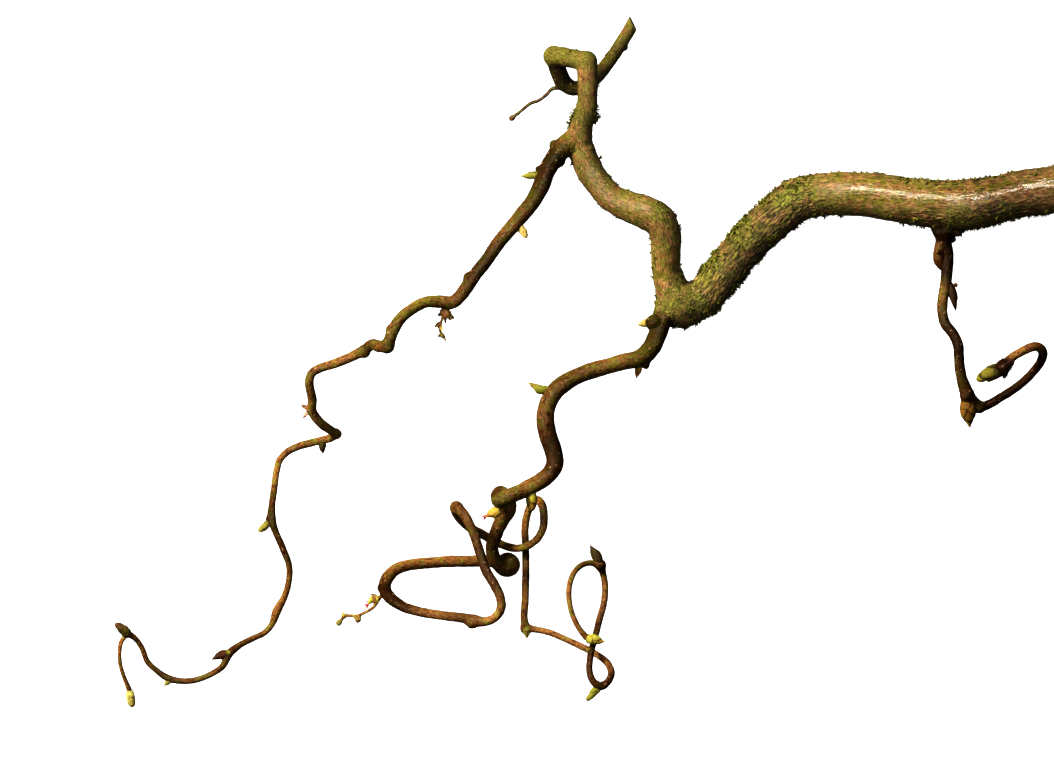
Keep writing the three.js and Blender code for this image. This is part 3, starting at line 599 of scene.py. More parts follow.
body = bmesh.new()
body.from_mesh(skin)
marks = body.faces.layers.int.new("cutNumber")
for number, cut in enumerate(cuts.values(), 1):
    cut["middle"] = np.array(cutEnd(body, marks, cut, number))
bmesh.ops.triangulate(body, faces=[f for f in body.faces if len(f.verts) > 4])
bmesh.ops.recalc_face_normals(body, faces=body.faces)
body.to_mesh(skin)
body.free()
print("ends cut:", len(skin.polygons), "faces")


def spread(value, turns):
    # Evens a value out over the skin.
    links = np.bincount(pairs.ravel(), minlength=count)
    for turn in range(turns):
        total = np.bincount(pairs[:, 0], value[pairs[:, 1]], count)
        total += np.bincount(pairs[:, 1], value[pairs[:, 0]], count)
        value = 0.5 * value + 0.5 * total / np.maximum(links, 1)
    return value


# Where each point of the skin is on its shoot, and what that says of it.
points = numbersOf(skin.vertices, "co", 3)
pairs = numbersOf(skin.edges, "vertices", 2, int)
corner = numbersOf(skin.loops, "vertex_index", kind=int)
start, sidesOf = (numbersOf(skin.polygons, word, kind=int) for word in ("loop_start", "loop_total"))
cutNumber = numbersOf(skin.attributes["cutNumber"].data, "value", kind=np.int32)
# Faces of four corners and of three, with the number of the cut that each is on.
quads, triangles = (corner[start[sidesOf == n][:, None] + np.arange(n)] for n in (4, 3))
quadCut, triangleCut = (cutNumber[sidesOf == n] for n in (4, 3))
value, way, owner, _ = field(points)
count = len(points)
run, radius, age, olive, dark = np.zeros((5, count))
roundAt = np.zeros((count, 2))
for order, shoot in enumerate(shoots.values()):
    mine = np.nonzero(owner == order)[0]
    path = shoot["path"]
    away, out, along, nearest, thick = toPath(path, points[mine])
    run[mine], radius[mine] = along, thick
    share = along / path["run"][-1]
    for axis, word in enumerate(("side", "up")):
        roundAt[mine, axis] = (out * path[word][nearest]).sum(1) * (away + thick)
    for target, word in ((age, "age"), (olive, "olive"), (dark, "dark")):
        target[mine] = np.interp(share, np.linspace(0, 1, len(shoot[word])), shoot[word])
grain = np.column_stack([run + 41.7 * owner, roundAt])  # each shoot has its own stretch of noise
age, olive, dark = (spread(value, 16) for value in (age, olive, dark))
size = spread(radius, 12)
print("skin read")

# Bark relief, in mm. A length runs along the wood and a width round it.
bark = {
    "lump": 0.085,  # share of the radius
    "lumpLength": 1.9,  # radii
    "plateLength": 3.0, "plateWidth": 0.68, "plateDepth": 0.26,
    "fineLength": 2.2, "fineWidth": 0.5, "fineDepth": 0.14,
    "ridgeLength": 3.5, "ridgeWidth": 0.62, "ridgeDepth": 0.12,  # on the smooth places
    "wrinkleLength": 0.9, "wrinkleWidth": 3.5, "wrinkleDepth": 0.1,
    "mossGrain": 0.55, "mossHeight": 0.22, "grainHeight": 0.09,
    "lenticels": 900, "lenticelWidth": 0.34, "lenticelHeight": 0.13,
    "coarseRun": (92, 112),  # past here the limb's bark is coarse
}
# Smooth brown places and thick moss on the limb and stem: [x, y, z, reach, amount].
smoothPlaces = [
    *np.linspace([70, 59, 20.6, 8, 0.5], [80, 58.3, 20.6, 8, 0.95], 3),
    *np.linspace([84, 57.6, 20.6, 7, 0.95], [103, 55.3, 19.8, 6, 0.95], 6),
    *np.linspace([107, 55.3, 19.6, 6, 0.95], [160, 63, 15.4, 6, 0.95], 14),
    *np.linspace([-13.6, 69, 17.2, 4, 0.8], [-8, 59.6, 18.2, 4, 0.8], 4),
    *np.linspace([-7, 58, 18.6, 4, 0.8], [7, 50.6, 22.3, 5, 0.8], 5),
    [84, 52, 19, 9, 0.4], [15, 35, 16.5, 5, 0.8], [14, 29.5, 14.6, 4, 0.8],
    [-12.5, 79, 18.5, 5, 0.5], [3, 52.6, 21.6, 5, 0.8], [-11.6, 91, 20, 4, 0.5],
]
mossPlaces = [
    [57.4, 57, 20.4, 5, 1], [54, 54.5, 19.4, 4.5, 0.9], [63, 57.5, 20.6, 4, 0.5],
    [12, 50.5, 22, 5, 0.7], [3, 54.5, 20.5, 6, 0.6], [41, 43, 15.5, 8, 0.6], [21, 22, 14, 7, 0.5],
    [-19, 103.5, 15.5, 5, 1], [-12.5, 101.5, 18.5, 4, 0.8], [-14.5, 84, 17, 4, 1],
    [-9.5, 84, 17.5, 4, 0.9], [30, 31, 13, 6, 0.6], [118, 47, 14, 8, 0.6], [128, 49, 14, 7, 0.6],
    [112, 50, 18, 7, 0.5], [100, 58, 19, 8, 0.4], [-5, 60, 18, 5, 0.4],
]
# Places of painted shade, a few of them real dark marks on the bark: [x, y, z, reach, amount].
paintedShadePlaces = [
    *np.linspace([60, 47.5, 12.5, 8, 0.5], [31.5, 17, 7.4, 8, 0.5], 9),
    [-31.9, -64, 14, 4, 0.8], [-31.9, -69, 15.5, 3, 0.6], [107.6, 44, 10, 6, 0.9],
    [113, 46, 10, 6, 0.8], [-6, -68, 28.5, 4, 1], [-7, -107.4, 36, 2.6, 0.8],
    [-24, -17, 31, 1.6, 0.95], [-24, -20.5, 31, 1.6, 0.95], [-76.6, -77.4, 26.4, 3, 0.8],
    [-73.6, -80.4, 28, 2.4, 0.5], [-131.6, -97.6, 24, 1.7, 0.9], [-7.6, 102.5, 14, 3, 0.5],
    [14, 15, 9, 4, 0.2], [16, 14, 11, 4.5, 0.9], [-36.6, -42.3, 34.4, 1.5, 0.9],
    [-38, -43.4, 35.6, 1.4, 0.7], [-41.8, -42.4, 34.5, 4, 0.8], [127.8, -1.2, 19.6, 5, 1],
    [110, 38, 9.6, 6, 1], [-30.3, -43, 29, 3.5, 0.8],
]
# Wrinkled collars: [x, y, z, reach].
collars = [
    [107.6, 44.8, 10, 4.5], [17, 18, 8.5, 4.5], [-17, 73.2, 14.6, 4], [-38.9, -45.6, 33, 3.6],
    [-38.5, -67.3, 12, 4], [119.3, -14.7, 8.3, 2.4], [-95.4, -23.8, 17.2, 2],
    [-77.9, 5.6, 43, 2.4], [127.6, -1.2, 18.3, 2.2], [-54.8, -48.2, 29.5, 2.2],
    [115.4, -10, 10.6, 2.6],
]


def around(places, reachShare=0.45):
    # How much of a place each point has, whole up to a share of the reach and none past it.
    total = np.zeros(count)
    for x, y, z, reach, *amount in places:
        away = np.linalg.norm(points - (x, y, z), axis=1)
        part = 1 - fade(reachShare * reach, reach, away)
        total = np.maximum(total, (amount[0] if amount else 1) * part)
    return total


def dots(number, width, allowed):
    # Raised dots at random on the skin, where they are allowed.
    chosen = chance.choice(np.nonzero(allowed)[0], number, replace=False)
    order = np.argsort(points[:, 0])
    sortedX = points[order, 0]
    height = np.zeros(count)
    for pick in chosen:
        wide = width * (0.7 + 0.7 * chance.random())
        first, last = np.searchsorted(sortedX, points[pick, 0] + np.array([-3, 3]) * wide)
        close = order[first:last]
        away = ((points[close] - points[pick]) ** 2).sum(1) / wide ** 2
        height[close] = np.maximum(height[close], np.exp(-away))
    return height


def grained(name, shift, octaves):
    # Noise that is stretched along the wood.
    wide = bark[name + "Width"]
    return fractal(grain / (bark[name + "Length"], wide, wide) + shift, octaves)


old = fade(0.45, 0.85, age)
# Painted shade: the shaded places are added to each shoot's own painted shade.
dark = np.maximum(dark, around(paintedShadePlaces))
smooth = around(smoothPlaces) * old
mossy = 0.75 * fade(-0.05, 0.5, fractal(points / 7 + 5)) * fade(0.35, 0.8, olive)
mossy = np.clip(around(mossPlaces) + mossy, 0, 1) * (1 - 0.85 * smooth)
plate = grained("plate", 0, 3)
crack = np.exp(-(plate / 0.11) ** 2)
coarse = 0.25 + 0.75 * fade(-0.3, 0.4, fractal(points / 14 + 31, 2))
steep = fade(*bark["coarseRun"], run) * (owner == 0)
coarse = np.clip(np.maximum(coarse, spread(steep, 10)), 0, 1)
coarse *= 1 - 0.6 * spread((owner != 0).astype(float), 20)
lenticel = dots(bark["lenticels"], bark["lenticelWidth"], (age > 0.05) & (value < 0.5))
mossGrain = fractal(points / bark["mossGrain"] + 50, 2)
bare = 1 - 0.7 * smooth

lumps = points / (bark["lumpLength"] * np.clip(size, 1, 6)[:, None]) + 11
relief = bark["lump"] * size * (1 - 0.6 * smooth) * fractal(lumps, 2)
relief += (old * (1 - 0.85 * smooth) * coarse * bark["plateDepth"]
           * (0.35 + plate * 0.9 - 0.75 * crack))
relief += ((0.6 + 0.4 * old) * (1 - 0.75 * smooth) * bark["fineDepth"] * grained("fine", 9, 2)
           * np.clip(size / 2, 0.3, 1))
relief += smooth * bark["ridgeDepth"] * grained("ridge", 0, 2)
relief += bark["lenticelHeight"] * lenticel * np.clip(size / 4, 0.3, 1)
relief += (around(collars, 0.3) * bark["wrinkleDepth"] * grained("wrinkle", 3, 2)
           * np.clip(size, 0.8, 2.5))
relief += mossy * old * bark["mossHeight"] * (0.4 + mossGrain)
relief += (0.3 + 0.7 * old) * bare * bark["grainHeight"] * mossGrain * np.clip(size / 3, 0.2, 1)


def onFaces(quadPick, trianglePick):
    # Which points the picked faces touch.
    touched = np.zeros(count, bool)
    touched[quads[quadPick].ravel()] = True
    touched[triangles[trianglePick].ravel()] = True
    return touched


onCut = onFaces(quadCut > 0, triangleCut > 0)
points += np.where(onFaces(quadCut == 0, triangleCut == 0), relief, 0)[:, None] * way
for number, cut in enumerate(cuts.values(), 1):
    facing = unit(cut["facing"])
    mine = onFaces(quadCut == number, triangleCut == number)
    offset = (points[mine] - cut["at"]) @ facing
    inPlane = points[mine] - offset[:, None] * facing
    rough = cut["ragged"] * fractal(inPlane / cut["raggedLength"] + 60, 3)
    points[mine] = inPlane + facing * rough[:, None]
points[:, 2] = np.maximum(points[:, 2], 0)
print("bark shaped")


def reading(tree, name, socket="Fac"):
    return addNode(tree, "Attribute", attribute_name=name).outputs[socket]


def mixed(amount, first, second, blend="MIX"):
    node = addNode(amount.id_data, "Mix", data_type="RGBA", blend_type=blend, clamp_factor=True)
    return fill(node, {0: amount, 6: first, 7: second}).outputs[2]


def ranged(given, low, high, newLow=0.0, newHigh=1.0):
    return addNode(given.id_data, "MapRange", {
        "Value": given, "From Min": low, "From Max": high,
        "To Min": newLow, "To Max": newHigh}).outputs["Result"]


def noised(vector, scale, detail=3.0, rough=0.55):
    return addNode(vector.id_data, "TexNoise", {
        "Vector": vector, "Scale": scale, "Detail": detail, "Roughness": rough}).outputs["Fac"]


def maths(operation, first, second):
    tree = (first if isinstance(first, bpy.types.NodeSocket) else second).id_data
    return addNode(tree, "Math", {0: first, 1: second}, operation=operation).outputs[0]


def plus(first, second):
    return maths("ADD", first, second)


def times(first, second):
    return maths("MULTIPLY", first, second)


barkLook = {
    "young": (0.065, 0.024, 0.005, 1), "youngLight": (0.38, 0.156, 0.041, 1),
    "old": (0.12, 0.058, 0.016, 1), "oldLight": (0.38, 0.205, 0.085, 1),
    "ruddy": (0.17, 0.062, 0.018, 1), "tan": (0.46, 0.31, 0.125, 1),
    "worn": (0.14, 0.07, 0.024, 1), "wornLight": (0.32, 0.175, 0.07, 1),
    "olive": (0.062, 0.055, 0.007, 1), "oliveLight": (0.21, 0.172, 0.028, 1),
    "moss": (0.065, 0.07, 0.008, 1), "mossLight": (0.25, 0.245, 0.038, 1),
    "crack": (0.024, 0.017, 0.006, 1), "fleck": (0.42, 0.22, 0.07, 1),
    "lenticel": (0.50, 0.31, 0.13, 1), "shaded": (0.1, 0.07, 0.03, 1),
    # Noise along the wood: how it is stretched (per mm), its detail and roughness.
    "fibre": ((0.5, 3.2, 3.2), 3.0, 0.7), "broad": ((0.28, 1.55, 1.55), 3.0, 0.7),
    "thread": ((0.95, 4.8, 4.8), 2.0, 0.6), "streak": ((0.5, 1.9, 1.9), 2.0, 0.5),
    # Noise in patches: its scale (per m), detail and roughness.
    "patch": (620.0, 4.0, 0.65), "mottle": (330.0, 5.0, 0.7), "speck": (1500.0, 3.0, 0.65),
    "shine": {"limb": 0.36, "stem": 0.3, "twig": 0.1},
}


def makeBarkPaint(name):
    paint, tree = newPaint(name + "Bark")
    look = barkLook
    grainAt = reading(tree, "grain", "Vector")
    place = addNode(tree, "TexCoord").outputs["Object"]
    fibre, broad, thread, streak = (
        noised(addNode(tree, "VectorMath", {0: grainAt, 1: stretch},
                       operation="MULTIPLY").outputs[0], 1.0, *rest)
        for stretch, *rest in (look[word] for word in ("fibre", "broad", "thread", "streak")))
    patch, mottle, speck = (noised(place, *look[word]) for word in ("patch", "mottle", "speck"))
    ageAt, oliveAt, mossAt, paintedShadeAt, coarseAt, glossAt, crackAndShadeAt, lenticelAt = (
        reading(tree, word) for word in
        ("age", "olive", "moss", "dark", "coarse", "gloss", "crack", "lenticel"))
    # Brown wood, young and old, streaked along the grain.
    light = plus(times(ranged(fibre, 0.38, 0.64), maths("SUBTRACT", 1.0, coarseAt)),
                 times(ranged(broad, 0.42, 0.6), coarseAt))
    grainy = ranged(plus(thread, times(mottle, 0.8)), 0.72, 1.06)
    young = mixed(grainy, look["young"], look["youngLight"])
    oldWood = mixed(light, look["old"], look["oldLight"])
    worn = mixed(light, look["worn"], look["wornLight"])
    oldWood = mixed(ranged(glossAt, 0.4, 0.9, 0, 0.85), oldWood, worn)
    oldWood = mixed(ranged(patch, 0.52, 0.64, 0, 0.7), oldWood, look["ruddy"])
    oldWood = mixed(ranged(patch, 0.44, 0.34, 0, 0.6), oldWood, look["tan"])
    brown = mixed(ageAt, young, oldWood)
    # Green film and moss over it.
    green = mixed(mixed(ageAt, grainy, light), look["olive"], look["oliveLight"])
    greenShare = plus(plus(oliveAt, ranged(mottle, 0.34, 0.66, -0.75, 0.75)),
                      ranged(thread, 0.3, 0.7, -0.3, 0.3))
    colour = mixed(ranged(greenShare, 0.2, 0.8), brown, green)
    mossColour = mixed(ranged(speck, 0.35, 0.65), look["moss"], look["mossLight"])
    colour = mixed(times(mossAt, ranged(speck, 0.25, 0.55)), colour, mossColour)
    # Cracks, dark threads, painted shade, flecks and breathing pores.
    # The sunk cracks are painted darker: their own dark colour and painted shade in them.
    colour = mixed(ranged(crackAndShadeAt, 0.25, 1, 0, 0.85), colour, look["crack"])
    texture = plus(times(maths("SUBTRACT", thread, 0.5), ranged(coarseAt, 0.3, 1, 1, 0.3)),
                   times(maths("SUBTRACT", streak, 0.5), ranged(coarseAt, 0.3, 1, 0.2, 0.85)))
    colour = mixed(ranged(texture, -0.06, -0.17, 0, 0.85), colour, look["crack"])
    flicker = plus(times(texture, ranged(ageAt, 0, 1, 0.8, 3.4)), 1.0)
    colour = addNode(tree, "VectorMath", {0: colour, "Scale": flicker},
                     operation="SCALE").outputs[0]
    # Painted shade: where the dark attribute is high, the colour is multiplied towards the shaded
    # colour.
    colour = mixed(paintedShadeAt, colour, look["shaded"], "MULTIPLY")
    fleck = times(ranged(speck, 0.62, 0.72), ranged(ageAt, 0, 0.6, 0.12, 0.5))
    colour = mixed(fleck, colour, look["fleck"])
    colour = mixed(ranged(lenticelAt, 0.35, 0.9, 0, 0.45), colour, look["lenticel"])
    rough = plus(ranged(glossAt, 0, 1, 0.75, 0.2), ranged(fibre, 0.3, 0.7, -0.06, 0.1))
    height = plus(plus(fibre, times(thread, 0.7)), times(times(speck, mossAt), 1.5))
    bump = addNode(tree, "Bump", {
        "Strength": 0.8, "Distance": ranged(glossAt, 0.1, 0.95, 0.0002, 0.00002), "Height": height})
    return finishPaint(paint, {"Base Color": colour, "Roughness": rough,
                               "Normal": bump.outputs["Normal"],
                               "Specular IOR Level": look["shine"][name]})


woodLook = {
    "ring": (0.62, 0.44, 0.24, 1), "lateRing": (0.45, 0.28, 0.13, 1), "speck": (0.36, 0.22, 0.1, 1),
    "rim": (0.12, 0.07, 0.03, 1), "pith": (0.25, 0.14, 0.06, 1),
    "rings": 62.0,  # radians from the middle to the rim
    "wobble": 0.05, "rough": 0.7, "bumpHeight": 0.0001,
}


def makeWoodPaint():
    paint, tree = newPaint("cutWood")
    look = woodLook
    spot = reading(tree, "disc", "Vector")
    outward = addNode(tree, "SeparateXYZ", {0: spot}).outputs["Z"]
    ringAt = plus(outward, times(noised(spot, 3.0, 2.0), look["wobble"]))
    wave = addNode(tree, "Math", {0: times(ringAt, look["rings"])}, operation="SINE").outputs[0]
    speck = noised(spot, 40.0, 3.0, 0.7)
    colour = mixed(ranged(wave, 0.3, 1), look["ring"], look["lateRing"])
    colour = mixed(ranged(speck, 0.35, 0.7, 0, 0.5), colour, look["speck"])
    colour = mixed(ranged(ringAt, 0.93, 0.97), colour, look["rim"])
    colour = mixed(ranged(ringAt, 0.12, 0.06), colour, look["pith"])
    bump = addNode(tree, "Bump", {"Strength": 0.5, "Distance": look["bumpHeight"],
                                  "Height": speck})
    return finishPaint(paint, {"Base Color": colour, "Roughness": look["rough"],
                               "Normal": bump.outputs["Normal"]})


barkPaints = {name: makeBarkPaint(name) for name in barkLook["shine"]}
woodPaint = makeWoodPaint()


def makePiece(name, corners, faces, paint, numbers=None, vectors=None, normals=None):
    mesh = bpy.data.meshes.new(name)
    mesh.from_pydata((np.asarray(corners) * mm).tolist(), [], faces)
    for word, given in (numbers or {}).items():
        mesh.attributes.new(word, "FLOAT", "POINT").data.foreach_set(
            "value", np.asarray(given, np.float32))
    for word, given in (vectors or {}).items():
        mesh.attributes.new(word, "FLOAT_VECTOR", "POINT").data.foreach_set(
            "vector", np.asarray(given, np.float32).ravel())
    mesh.polygons.foreach_set("use_smooth", np.ones(len(mesh.polygons), bool))
    mesh.materials.append(paint)
    mesh.update()
    if normals is not None:
        mesh.normals_split_custom_set_from_vertices(normals.tolist())
    piece = shown(name, mesh)
    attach(piece, "root")
    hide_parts("branch")
    return piece


def skinNormals():
    total = np.zeros((count, 3))
    for polygons in (quads[quadCut == 0], triangles[triangleCut == 0]):
        sides = polygons.shape[1]
        a, b, c, d = (points[polygons[:, k]] for k in (0, 1, 2, sides - 1))
        across = np.cross(c - a, d - b) if sides == 4 else np.cross(b - a, c - a)
        for k, axis in np.ndindex(sides, 3):
            total[:, axis] += np.bincount(polygons[:, k], across[:, axis], count)
    return unit(total)


normals = skinNormals()
gloss = np.where(age > 0.45, 0.1, 0.7)  # old bark is dull, the limb's straight part less so
gloss = np.where((owner == 0) & (run < 96), 0.4, gloss)
gloss = np.clip(np.maximum(spread(gloss, 20), smooth) - 0.6 * mossy * old, 0, 1)
# The dark attribute is painted shade along the wood, with some darker bark in it.
numbers = {"age": age, "gloss": gloss, "olive": olive, "moss": mossy * old, "lenticel": lenticel,
           "crack": crack * old * bare * coarse, "coarse": coarse * old, "dark": dark}
pieceOf = [shoot["piece"] for shoot in shoots.values()]
pieceNames = list(dict.fromkeys(pieceOf))
pieceNumber = np.array([pieceNames.index(name) for name in pieceOf])[owner]


def takeFaces(quadPick, trianglePick):
    # Faces that are picked, with their corners counted afresh.
    used = np.nonzero(onFaces(quadPick, trianglePick))[0]
    fresh = np.full(count, -1)
    fresh[used] = np.arange(len(used))
    return used, fresh[quads[quadPick]].tolist() + fresh[triangles[trianglePick]].tolist()


for number, name in enumerate(pieceNames):
    used, faces = takeFaces((pieceNumber[quads[:, 0]] == number) & (quadCut == 0),
                            (pieceNumber[triangles[:, 0]] == number) & (triangleCut == 0))
    makePiece(name, points[used], faces, barkPaints.get(name, barkPaints["twig"]),
              {word: given[used] for word, given in numbers.items()},
              {"grain": grain[used]}, normals[used])
    print(name, len(used), "points", len(faces), "faces")
for number, (name, cut) in enumerate(cuts.items(), 1):
    used, faces = takeFaces(quadCut == number, triangleCut == number)
    facing = unit(cut["facing"])
    offset = points[used] - cut["middle"]
    sideways = unit(np.cross(facing, (0, 0, 1)))
    flatSpot = np.column_stack([offset @ sideways, offset @ np.cross(facing, sideways)])
    away = np.linalg.norm(flatSpot, axis=1)
    disc = np.column_stack([flatSpot / away.max(), away / away.max()])
    makePiece(name, points[used], faces, woodPaint, vectors={"disc": disc})
print("wood made")

# Winter buds. Each colour is that of a scale's body, rim, tip and foot.
budColours = {
    "yellow": ((0.45, 0.29, 0.055), (0.24, 0.08, 0.015), (0.36, 0.13, 0.025), (0.36, 0.27, 0.05)),
    "green": ((0.19, 0.185, 0.02), (0.1, 0.055, 0.01), (0.22, 0.16, 0.03), (0.13, 0.11, 0.014)),
    "lime": ((0.29, 0.25, 0.03), (0.16, 0.075, 0.012), (0.22, 0.11, 0.018), (0.17, 0.14, 0.018)),
    "fresh": ((0.33, 0.29, 0.04), (0.22, 0.1, 0.018), (0.34, 0.22, 0.035), (0.26, 0.2, 0.03)),
    "olive": ((0.16, 0.14, 0.02), (0.08, 0.045, 0.01), (0.28, 0.26, 0.05), (0.08, 0.065, 0.01)),
    "rusty": ((0.09, 0.07, 0.013), (0.11, 0.045, 0.01), (0.09, 0.04, 0.009), (0.08, 0.04, 0.01)),
    "plum": ((0.065, 0.022, 0.007), (0.03, 0.011, 0.004), (0.045, 0.017, 0.006),
        (0.26, 0.26, 0.03)),
    "pale": ((0.47, 0.41, 0.1), (0.34, 0.25, 0.06), (0.36, 0.27, 0.065), (0.34, 0.27, 0.06)),
    "orange": ((0.15, 0.072, 0.01), (0.018, 0.007, 0.003), (0.14, 0.09, 0.012),
        (0.05, 0.022, 0.006)),
    "tan": ((0.3, 0.23, 0.065), (0.24, 0.15, 0.04), (0.34, 0.25, 0.065), (0.24, 0.18, 0.04)),
    "deep": ((0.035, 0.017, 0.005), (0.016, 0.008, 0.003), (0.026, 0.012, 0.004),
        (0.03, 0.018, 0.006)),
    "dark": ((0.05, 0.035, 0.008), (0.022, 0.011, 0.004), (0.03, 0.016, 0.005),
        (0.07, 0.05, 0.008)),
    "mixed": ((0.13, 0.105, 0.013), (0.016, 0.01, 0.003), (0.18, 0.15, 0.02),
        (0.02, 0.015, 0.003)),
}
budShape = {
    "along": 60, "round": 54,
    "outline": ((0, 0.60), (0.12, 0.80), (0.3, 0.98), (0.45, 1.0), (0.62, 0.86), (0.8, 0.55),
                (0.93, 0.24), (1, 0.02)),
    "bluntOutline": ((0, 0.6), (0.15, 0.85), (0.35, 1), (0.6, 0.99), (0.8, 0.85), (0.93, 0.55),
                     (1, 0.05)),
    "tipRounding": (0.9, 0.75, 0.5, 0.05),
    "scaleThickness": 0.055,  # share of the width
    "firstEnd": 0.36,  # how far along the lowest scale ends
    "spiral": 2.4,  # radians from one scale to the next
    "rimWidth": 0.2,
    "bowing": 4,
}
# Each bud: its foot in the wood, its tip, width, colour, number of scales, and what else it has:
# a blunt tip, a rim of another width, a dark foot, a bow to one side.
buds = {
    "leftTwigBuds": [
        ((-26.8, 63, 18), (-33.7, 62.3, 18.6), 2.4, "olive", 4, {"bow": (0, -0.2, 0)}),
        ((-35, 46.6, 24.4), (-31.3, 41.6, 26.6), 2.7, "tan", 4,
         {"blunt": True, "bow": (0.2, 0.1, 0)}),
        ((-99.7, -25.8, 14), (-99.3, -30.4, 13.6), 2.4, "dark", 5, {}),
        ((-117, -52.6, 27.6), (-120.8, -56.2, 27.8), 2.6, "olive", 3,
         {"blunt": True, "bow": (0.1, -0.2, 0)}),
        ((-130.2, -96.4, 22.7), (-136.4, -98.8, 23), 3, "plum", 4, {"bow": (0, 0.3, 0)}),
        ((-149.8, -105.2, 17), (-152.3, -107.6, 16.9), 2.1, "olive", 2, {}),
        ((-163.7, -90.6, 24.3), (-168.4, -86.6, 27), 3, "rusty", 5, {"blunt": True}),
        ((-163.8, -109, 15.7), (-162.8, -114.8, 13.7), 3.1, "pale", 2, {"blunt": True}),
    ],
    "lowerShootBuds": [
        ((10, 14, 11), (5.4, 12.7, 11), 2.5, "tan", 4, {"bow": (0, -0.2, 0)}),
        ((6, 0.4, 16.2), (5, -5.3, 15.6), 2.3, "yellow", 5, {"bow": (0.2, 0, 0)}),
        ((-23.7, -9.2, 26.6), (-31, -6.3, 27.4), 3.1, "green", 4, {"bow": (-0.2, -0.8, 0)}),
        ((-40.3, -48.9, 34), (-45.3, -51.2, 33), 3.7, "yellow", 4, {}),
        ((-30.1, -42.2, 31.6), (-29.6, -49.4, 30.2), 3.7, "lime", 4, {"blunt": True, "rim": 0.3}),
        ((-31.6, -87.4, 25.6), (-31.3, -91.8, 26.4), 2.5, "lime", 5, {}),
        ((-7, -107.2, 36), (-11.6, -112.4, 35.4), 2.5, "green", 4, {"blunt": True}),
        ((-7, -67.2, 29), (-10.4, -60.6, 30.6), 3.2, "dark", 4, {"bow": (0.2, 0.2, 0)}),
        ((-11.6, -91.4, 36.5), (-5.4, -92.8, 36.6), 3.5, "fresh", 4, {}),
        ((-82.6, -78, 23.6), (-84.4, -80.6, 23.9), 2, "fresh", 3, {}),
        ((-81.6, -77.6, 23.7), (-80.8, -79.9, 24.4), 1.7, "fresh", 3, {}),
        ((-87.2, -84.4, 22.4), (-88, -86.7, 22.3), 2, "fresh", 3, {}),
        ((-92, -84.4, 22), (-93, -83.2, 22.4), 1.4, "fresh", 3, {}),
        ((-93.6, -85.8, 21.7), (-94.4, -87.6, 21.3), 1.6, "fresh", 3, {}),
    ],
    "limbTwigBuds": [
        ((127.8, -1.7, 18.2), (118.3, -5.7, 16.2), 4.5, "mixed", 5,
         {"blunt": True, "rim": 0.5, "darkFoot": 0.5, "bow": (0, 0.2, 0)}),
        ((115.3, -11.6, 10.4), (116.4, -21.7, 8.8), 4.7, "orange", 8, {"rim": 0.42}),
        ((109.2, 27, 10), (111.7, 17.3, 9.4), 3.3, "deep", 3, {"bow": (0.3, 0, 0)}),
    ],
}


def budOf(bud, number):
    # One closed skin whose steps are the rims of overlapping scales.
    base, tip, width, colour, scales, more = bud
    base, tip = np.array(base, float), np.array(tip, float)
    heading = unit(tip - base)
    across = unit(np.cross((0, 0, 1.0), heading))
    upward = np.cross(heading, across)
    t, phi = np.meshgrid(np.linspace(0, 1, budShape["along"]) ** 0.9,
                         np.linspace(0, 2 * np.pi, budShape["round"], endpoint=False),
                         indexing="ij")
    spots, girths = zip(*budShape["bluntOutline" if "blunt" in more else "outline"])
    fine = np.linspace(0, 1, 200)
    soft = np.pad(np.interp(fine, spots, girths), 9, mode="edge")
    soft = np.convolve(soft, np.ones(19) / 19, "valid")
    soft[-4:] *= budShape["tipRounding"]
    thick = width * budShape["scaleThickness"]
    radius = width / 2 * np.interp(t, fine, soft)
    reach = radius - thick * np.minimum(scales * 0.5, 2) * fade(1, 0.6, t)
    body, edge, point, foot = (np.array(value) for value in budColours[colour])
    fresh = np.clip(t * 1.2, 0, 1)[..., None]
    tint = body * (1 - fresh) + point * fresh
    turn = 1.1 + 0.9 * number
    first = budShape["firstEnd"]
    for k in range(scales - 1, -1, -1):
        last = first + (1 - first) * (k / max(scales - 1, 1)) ** 0.85 * 0.97
        facing = turn + budShape["spiral"] * k
        share = np.clip(t / last, 0, 1)
        half = (1.5 if k > 0 else 1.2) * np.sqrt(np.clip(1 - share ** 2.6, 0, 1))
        aside = np.abs((phi - facing + np.pi) % (2 * np.pi) - np.pi)
        within = (aside < half) & (t < last)
        toRim = np.minimum(1 - aside / np.maximum(half, 1e-3), (1 - share) * 2.2)
        level = min(scales - k, 4) * 0.55
        lifted = radius + thick * level * fade(1.05, 0.7, t) - thick * 0.55 * fade(0.25, 0, toRim)
        reach = np.where(within, lifted - thick * 0.8, reach)
        shade = 0.82 + 0.36 * chance.random()
        rise, end = fade(0, 0.45, share)[..., None], (fade(0.6, 1, share) * 0.55)[..., None]
        scale = (foot * (1 - rise) + body * rise) * (1 - end) + point * end
        rim = fade(more.get("rim", budShape["rimWidth"]), 0.03, toRim)[..., None]
        tint = np.where(within[..., None], (scale * (1 - rim) + edge * rim) * shade, tint)
    if "darkFoot" in more:
        tint = tint * (0.12 + 0.88 * fade(0.12, more["darkFoot"], t))[..., None]
    bow = np.array(more.get("bow", (0, 0, 0)), float) * budShape["bowing"]
    centre = base + t[..., None] * (tip - base) + (t * (1 - t))[..., None] * bow
    keel = 1 + 0.04 * np.cos(2 * phi + number)
    corners = centre + (reach * keel)[..., None] * (
        np.cos(phi)[..., None] * across + np.sin(phi)[..., None] * upward)
    peak = tip + heading * 0.02 * np.linalg.norm(tip - base)
    tint = tint.reshape(-1, 3)
    return (np.vstack([corners.reshape(-1, 3), base, peak]), tubeFaces(*t.shape),
            np.vstack([tint, tint[:1], tint[-1:]]))


